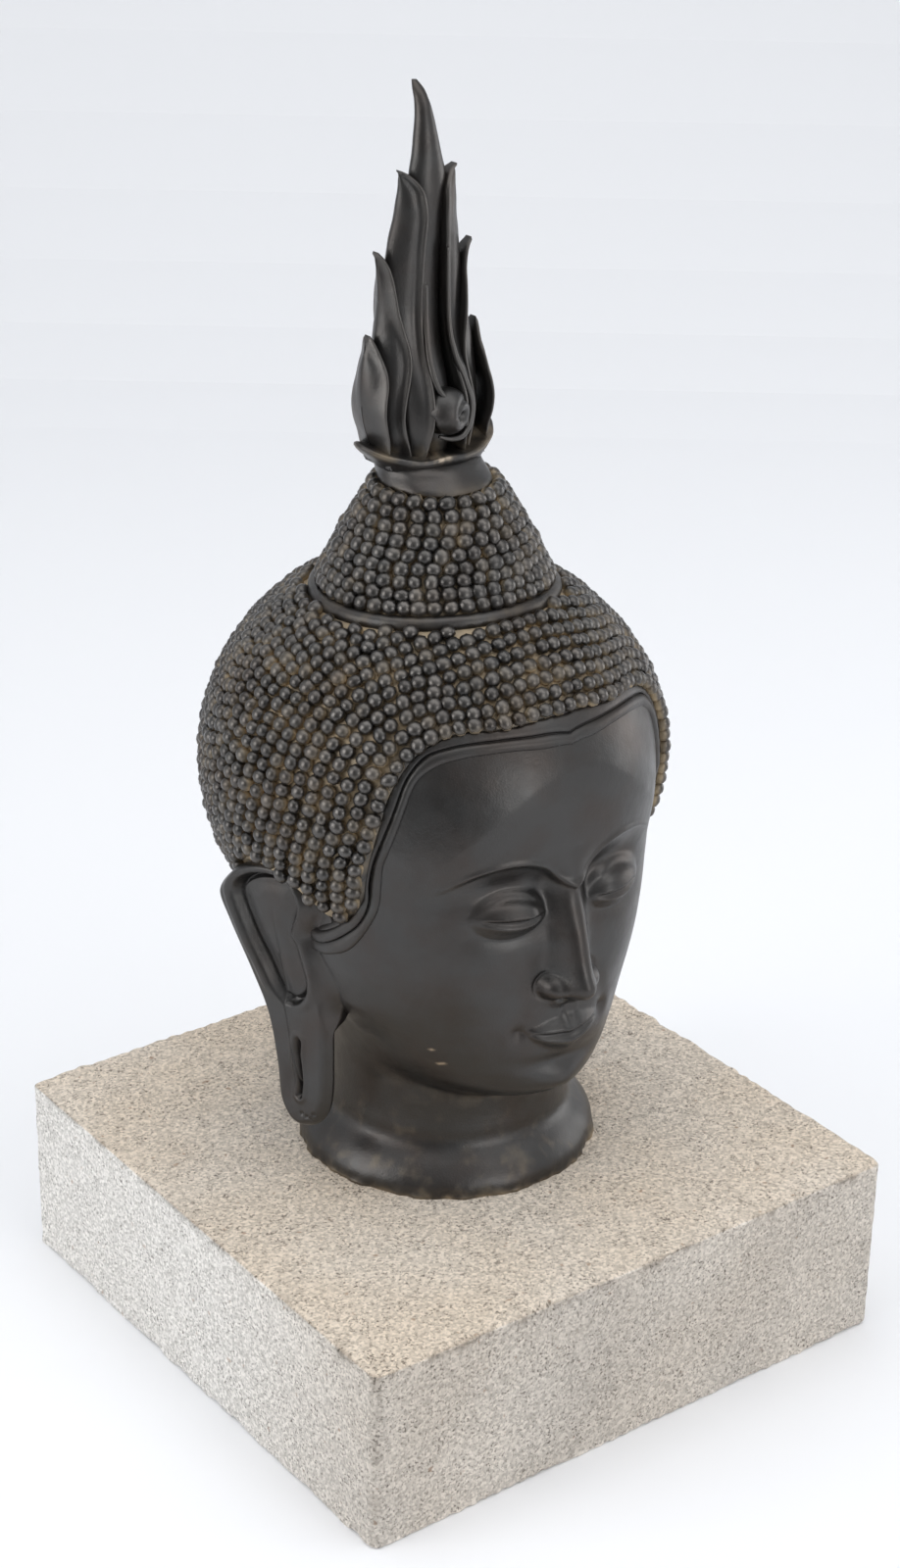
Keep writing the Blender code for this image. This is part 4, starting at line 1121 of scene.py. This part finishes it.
# Flame


def flame_place(points):
    """Points of the flame, from the middle of its foot, in their place. Above the collar it stands back."""
    lean = FLAME_LEAN_BACK * np.clip(points[..., 2] / COLLAR_HEIGHT, 0, 1)
    return points + np.stack((0 * lean, USHNISHA_Y + lean, FLAME_FOOT + 0 * lean), axis=-1)


def flame_leaf(stations, mirror):
    """A leaf as level rings. Each ring's front runs from the thin outer edge up a gentle swell to a rounded
    rim and down a wall to the middle plane; its back is the same, mirrored. The widths and the rim's depth
    follow the stations, and the whole leans back with the flame's curl."""
    stations = np.array(stations, float)
    low, high = stations[0, 0], stations[-1, 0]
    heights = low + (high - low) * (1 - (1 - np.linspace(0, 1, 60)) ** 1.5)
    outer, inner, depth = np.moveaxis(smooth_through(heights, stations[:, 0], stations[:, 1:]), -1, 0)
    wide = np.abs(outer - inner) + 1e-6
    shares = np.array((0.0, 0.03, 0.1, 0.2, 0.32, 0.45, 0.58, 0.7, 0.78, 0.84, 0.89, 0.93, 0.96, 0.985, 1.0))
    rim = np.clip(wide, 0.1, 2.2)
    swell = 1.2 + (depth[:, None] - rim[:, None] * 0.7 - 1.2) * np.sin(shares * np.pi / 2) ** 0.8
    bead = rim[:, None] * bell(shares - 1 + 1.5 / wide[:, None], 1.5 / wide[:, None])
    trough = rim[:, None] * bell(shares - 1 + 4.8 / wide[:, None], 2.0 / wide[:, None])
    front = swell * (0.3 + 0.7 * ease(shares / 0.05)) + 0.95 * bead - 0.45 * trough
    worn = np.concatenate((bead / 2.2, bead[:, -1:] * 0, bead[:, -1:] * 0, bead[:, ::-1] / 2.2), axis=1)
    x = outer[:, None] + (inner - outer)[:, None] * shares
    front = np.concatenate((front, front[:, -1:] * 0.5), axis=1)
    x = np.concatenate((x, x[:, -1:]), axis=1)
    curl = smooth_through(heights, FLAME_CURL_HEIGHTS, FLAME_CURL)[:, None]
    y = np.concatenate((curl - front, (curl + front)[:, ::-1]), axis=1)
    x = np.concatenate((x, x[:, ::-1]), axis=1) * mirror
    z = np.broadcast_to(heights[:, None], x.shape)
    return *grid_shell(flame_place(np.stack((x, y, z), axis=-1))), with_ends(worn)


def flame_ridge(line, thick):
    """A round ridge: circles carried along a smooth line, thinner towards both of its ends."""
    at = np.linspace(0, len(line) - 1, 70)
    middle = smooth_through(at, np.arange(len(line)), line)
    along = np.gradient(middle, axis=0)
    along /= np.linalg.norm(along, axis=1)[:, None]
    side = np.cross(along, (0, 1, 0))
    side /= np.linalg.norm(side, axis=1)[:, None]
    front = np.cross(side, along)
    radius = thick * np.sin(np.linspace(0.12, np.pi - 0.25, 70)) ** 0.4
    turns = circle(14)
    ring = np.cos(turns)[:, None] * side[:, None] + np.sin(turns)[:, None] * front[:, None]
    grid = middle[:, None] + ring * radius[:, None, None]
    return *grid_shell(flame_place(grid)), np.full(70 * 14 + 2, 0.5)


def unworn(shell):
    """A shell with a layer of no wear, to be joined with the worn ones."""
    return *shell, np.zeros(len(shell[0]))


def flame_tongue():
    """The middle leaf as level rings: a lens whose half width and half depth follow the stations."""
    stations = np.array(TONGUE, float)
    heights = np.concatenate((np.linspace(12, 184, 50), np.linspace(186, 233.4, 40)))
    wide, deep = np.moveaxis(smooth_through(heights, stations[:, 0], stations[:, 1:]), -1, 0)
    around = circle(32)
    across, ahead = np.cos(around), np.sin(around)
    x = wide[:, None] * np.sign(across) * np.abs(across) ** 0.9
    y = deep[:, None] * np.sign(ahead) * np.abs(ahead) ** 1.25
    y = y + smooth_through(heights, FLAME_CURL_HEIGHTS, FLAME_CURL)[:, None]
    z = np.broadcast_to(heights[:, None], x.shape)
    return grid_shell(flame_place(np.stack((x, y, z), axis=-1)))


def flame_boss():
    """The round boss: a ball about an axis that points forwards, with a pit at its pole and a spiral groove
    that winds out of it."""
    away, round_it = np.meshgrid(np.linspace(0.02, np.pi - 0.05, 40), circle(48), indexing="ij")
    winding = 0.42 + 1.25 * round_it / (2 * np.pi)
    pit = 0.5 * bell(away, 0.3)
    groove = 0.1 * bell(away - winding, 0.14)
    radius = BOSS_RADIUS * (1 - pit - groove)
    axis = np.array((0.42, -0.88, -0.12))
    axis /= np.linalg.norm(axis)
    side = np.cross(axis, (0, 0, 1))
    side /= np.linalg.norm(side)
    up = np.cross(side, axis)
    ray = np.cos(away)[..., None] * axis + np.sin(away)[..., None] * (
        np.cos(round_it)[..., None] * side + np.sin(round_it)[..., None] * up
    )
    return grid_shell(flame_place(np.array(BOSS_PLACE) + radius[..., None] * ray))


def flame_flange():
    """The lens-shaped lip over the collar: a profile carried round a pointed oval whose points are
    lifted."""
    turns = circle(160)
    rings = []
    for height, grow in FLANGE_PROFILE:
        x = FLANGE_HALF_WIDTH * grow * np.cos(turns) * np.abs(np.cos(turns)) ** 0.25
        y = FLANGE_HALF_DEPTH * grow * np.sin(turns)
        lift = 9 * grow * np.abs(np.cos(turns)) ** 6
        rings.append(np.stack((x, y, height + lift), axis=-1))
    grid = np.array(rings)
    grid[..., 2] += 0.5 * ripple(grid, 22, 31)
    return grid_shell(flame_place(grid))


def flame_collar():
    """The ring under the lip: a profile carried round the cone's axis, uneven as cast."""
    turns = circle(120)
    rings = []
    for height, grow in COLLAR_PROFILE:
        radius = COLLAR_RADIUS * grow
        x, y = radius * np.sin(turns), -radius * np.cos(turns)
        rings.append(np.stack((x, y, 0 * turns + height), axis=-1))
    grid = np.array(rings)
    grid[..., :2] *= (1 + 0.008 * ripple(grid, 18, 33))[..., None]
    return grid_shell(flame_place(grid))


def build_flame(material):
    """The flame's parts as one mesh. Dirt lies on it near the foot, its rims are worn, and the lip is
    chipped."""
    parts = [unworn(shell) for shell in (flame_tongue(), flame_boss(), flame_flange(), flame_collar())]
    parts += [flame_ridge(RIDGE_INTO_BOSS, 1.9), flame_ridge(RIDGE_ROUND_BOSS, 2.1)]
    for mirror in (1, -1):
        parts += [flame_leaf(stations, mirror) for stations in (UPPER_LEAF, MIDDLE_LEAF, OUTER_LEAF)]
    points, faces = joined([part[:2] for part in parts])
    worn = np.concatenate([part[2] for part in parts])
    up = points[:, 2] - FLAME_FOOT
    soil = 0.4 * bell(up - 22, 5) + 0.35 * np.exp(-up / 3)
    pale = hump(points[:, 0] + 9, up - 19, 6, 1.6) * (points[:, 1] < USHNISHA_Y)
    pale = np.clip(pale * (0.65 + 0.65 * ripple(points, 5, 41)), 0, 1)
    return make_piece(
        "flame_leaves", points, faces, material, "flame_finial",
        {"worn": 0.4 * worn, "soil": soil, "pale": pale},
    )


# Stage


def build_stage(settings):
    """A paper sweep: a profile carried sideways that lies flat, bends up behind the object in a wide arc and
    ends in a wall. Soft lights stand overhead and on three sides."""
    start, straight, bend, top, half = SWEEP
    turn = np.linspace(0, np.pi / 2, 16)
    away = np.concatenate(((start, 0), straight + bend * np.sin(turn), (straight + bend,)))
    lift = np.concatenate(((0, 0), bend - bend * np.cos(turn), (top,)))
    across = np.array((-half, 0, half))[:, None, None] * np.array(SWEEP_ASIDE)
    grid = across + away[:, None] * np.array(SWEEP_AHEAD) + lift[:, None] * np.array((0, 0, 1))
    here = np.arange(3 * len(away)).reshape(3, -1)
    quads = np.stack((here[:-1, :-1], here[1:, :-1], here[1:, 1:], here[:-1, 1:]), axis=-1).reshape(-1, 4)
    mesh = bpy.data.meshes.new("paper_sweep")
    mesh.from_pydata(grid.reshape(-1, 3).tolist(), [], quads.tolist())
    paper, tree, shader, place = new_material("paper, matt white")
    shader.inputs["Base Color"].default_value = (*settings.floor, 1)
    shader.inputs["Roughness"].default_value = 0.9
    shader.inputs["Specular IOR Level"].default_value = 0.2
    fibres = add(tree, "ShaderNodeTexNoise", {"Vector": place, "Scale": 800.0})
    bump = add(
        tree, "ShaderNodeBump", {"Height": fibres.outputs["Fac"], "Strength": 0.1, "Distance": 0.0002},
    )
    tree.links.new(bump.outputs["Normal"], shader.inputs["Normal"])
    mesh.materials.append(paper)
    sweep = bpy.data.objects.new("paper_sweep", mesh)
    bpy.context.scene.collection.objects.link(sweep)
    world = bpy.data.worlds.new("studio")
    world.use_nodes = True
    tree = world.node_tree
    sky = tree.nodes["Background"]
    sky.inputs["Color"].default_value = (*linear(ROOM), 1)
    # The room is dim to the front and the left, so that the bronze keeps dark reflections there
    way = add(tree, "ShaderNodeTexCoord").outputs["Generated"]
    facing = add(tree, "ShaderNodeVectorMath", {0: way, 1: DIM_WAY}, operation="DOT_PRODUCT")
    dim = add(
        tree, "ShaderNodeMapRange",
        {"Value": facing.outputs["Value"], "From Min": 0.6, "From Max": 0.92, "To Min": settings.sky,
         "To Max": settings.sky * DIM_SHARE}, interpolation_type="SMOOTHSTEP",
    )
    tree.links.new(dim.outputs["Result"], sky.inputs["Strength"])
    bpy.context.scene.world = world
    bpy.context.scene.view_settings.view_transform = "Standard"
    for name, setting, size, place, aim in LAMPS:
        lamp = bpy.data.lights.new(name, "AREA")
        lamp.energy = getattr(settings, setting)
        lamp.size = size
        made = bpy.data.objects.new(name, lamp)
        made.location = place
        made.rotation_euler = (Vector(aim) - Vector(place)).to_track_quat("-Z", "Y").to_euler()
        bpy.context.scene.collection.objects.link(made)


def build_camera():
    """The camera at the photograph's angle: a place, a point that it looks at, and a small roll."""
    lens = bpy.data.cameras.new("camera")
    lens.sensor_fit = "VERTICAL"
    lens.sensor_height = 36
    lens.lens = CAMERA_LENS
    place, roll = Vector(CAMERA_PLACE), np.radians(CAMERA_ROLL)
    back = (place - Vector(CAMERA_AIM)).normalized()
    right = Vector((0, 0, 1)).cross(back).normalized()
    up = back.cross(right)
    right, up = right * np.cos(roll) + up * np.sin(roll), up * np.cos(roll) - right * np.sin(roll)
    turned = Matrix((right, up, back)).transposed().to_4x4()
    turned.translation = place
    made = bpy.data.objects.new("camera", lens)
    made.matrix_world = turned
    bpy.context.scene.collection.objects.link(made)
    bpy.context.scene.camera = made


# Operators


class BRONZEHEAD_OT_stage(Operator):
    """Sets up the paper sweep, the lights and the camera"""

    bl_idname = "bronze_head.stage"
    bl_label = "Build the stage"

    def execute(self, context):
        build_stage(context.scene.head_stage)
        build_camera()
        return {"FINISHED"}


class BRONZEHEAD_OT_plinth(Operator):
    """Builds the granite plinth with its worn and chipped arrises"""

    bl_idname = "bronze_head.plinth"
    bl_label = "Build the plinth"

    def execute(self, context):
        build_plinth(context.scene.head_plinth)
        return {"FINISHED"}


class BRONZEHEAD_OT_face(Operator):
    """Builds the face and the neck, and the ears beside them"""

    bl_idname = "bronze_head.face"
    bl_label = "Build the face and ears"

    def execute(self, context):
        settings = context.scene.head_bronze
        build_skin(settings)
        build_ears(black_patina("bronze, black patina, ears", settings, 0.38))
        return {"FINISHED"}


class BRONZEHEAD_OT_hair(Operator):
    """Builds the scalp, the curls, the strips along the hairline and the cone on the crown"""

    bl_idname = "bronze_head.hair"
    bl_label = "Build the hair"

    def execute(self, context):
        settings = context.scene.head_bronze
        dirty = black_patina("bronze, black patina, curls", settings, 0.30)
        smooth = black_patina("bronze, black patina, strips", settings, 0.40)
        build_scalp(dirty)
        places = cap_curl_places(settings)
        scatter_curls("cap_curls", places, cap_normal(places), settings, dirty, 5)
        build_hairline(settings, smooth)
        build_ushnisha(settings, dirty, smooth)
        return {"FINISHED"}


class BRONZEHEAD_OT_flame(Operator):
    """Builds the flame's leaves, its boss, its lip and its collar"""

    bl_idname = "bronze_head.flame"
    bl_label = "Build the flame"

    def execute(self, context):
        build_flame(black_patina("bronze, black patina, flame", context.scene.head_bronze, 0.36))
        return {"FINISHED"}


class BRONZEHEAD_PT_sidebar(Panel):
    """Lists the sizes, the colours and the steps"""

    bl_label = "Bronze head"
    bl_idname = "BRONZEHEAD_PT_sidebar"
    bl_space_type = "VIEW_3D"
    bl_region_type = "UI"
    bl_category = "Bronze head"

    def draw(self, context):
        for group in (context.scene.head_plinth, context.scene.head_bronze, context.scene.head_stage):
            box = self.layout.box()
            for name in group.__annotations__:
                box.prop(group, name)
        for step in STEPS:
            self.layout.operator(step.bl_idname)


SETTINGS = {"head_plinth": PlinthSettings, "head_bronze": HeadSettings, "head_stage": StageSettings}
STEPS = (
    BRONZEHEAD_OT_stage, BRONZEHEAD_OT_plinth, BRONZEHEAD_OT_face, BRONZEHEAD_OT_hair, BRONZEHEAD_OT_flame,
)


def register():
    """Adds the settings, the steps and the panel to Blender."""
    for made in (*SETTINGS.values(), *STEPS, BRONZEHEAD_PT_sidebar):
        bpy.utils.register_class(made)
    for name, group in SETTINGS.items():
        setattr(bpy.types.Scene, name, PointerProperty(type=group))


def unregister():
    """Takes out what register adds."""
    for name in SETTINGS:
        delattr(bpy.types.Scene, name)
    for made in (BRONZEHEAD_PT_sidebar, *reversed(STEPS), *reversed(SETTINGS.values())):
        bpy.utils.unregister_class(made)


def main():
    register()
    bpy.ops.bronze_head.stage()
    bpy.ops.bronze_head.plinth()
    bpy.ops.bronze_head.face()
    bpy.ops.bronze_head.hair()
    bpy.ops.bronze_head.flame()


if __name__ == "__main__":
    main()
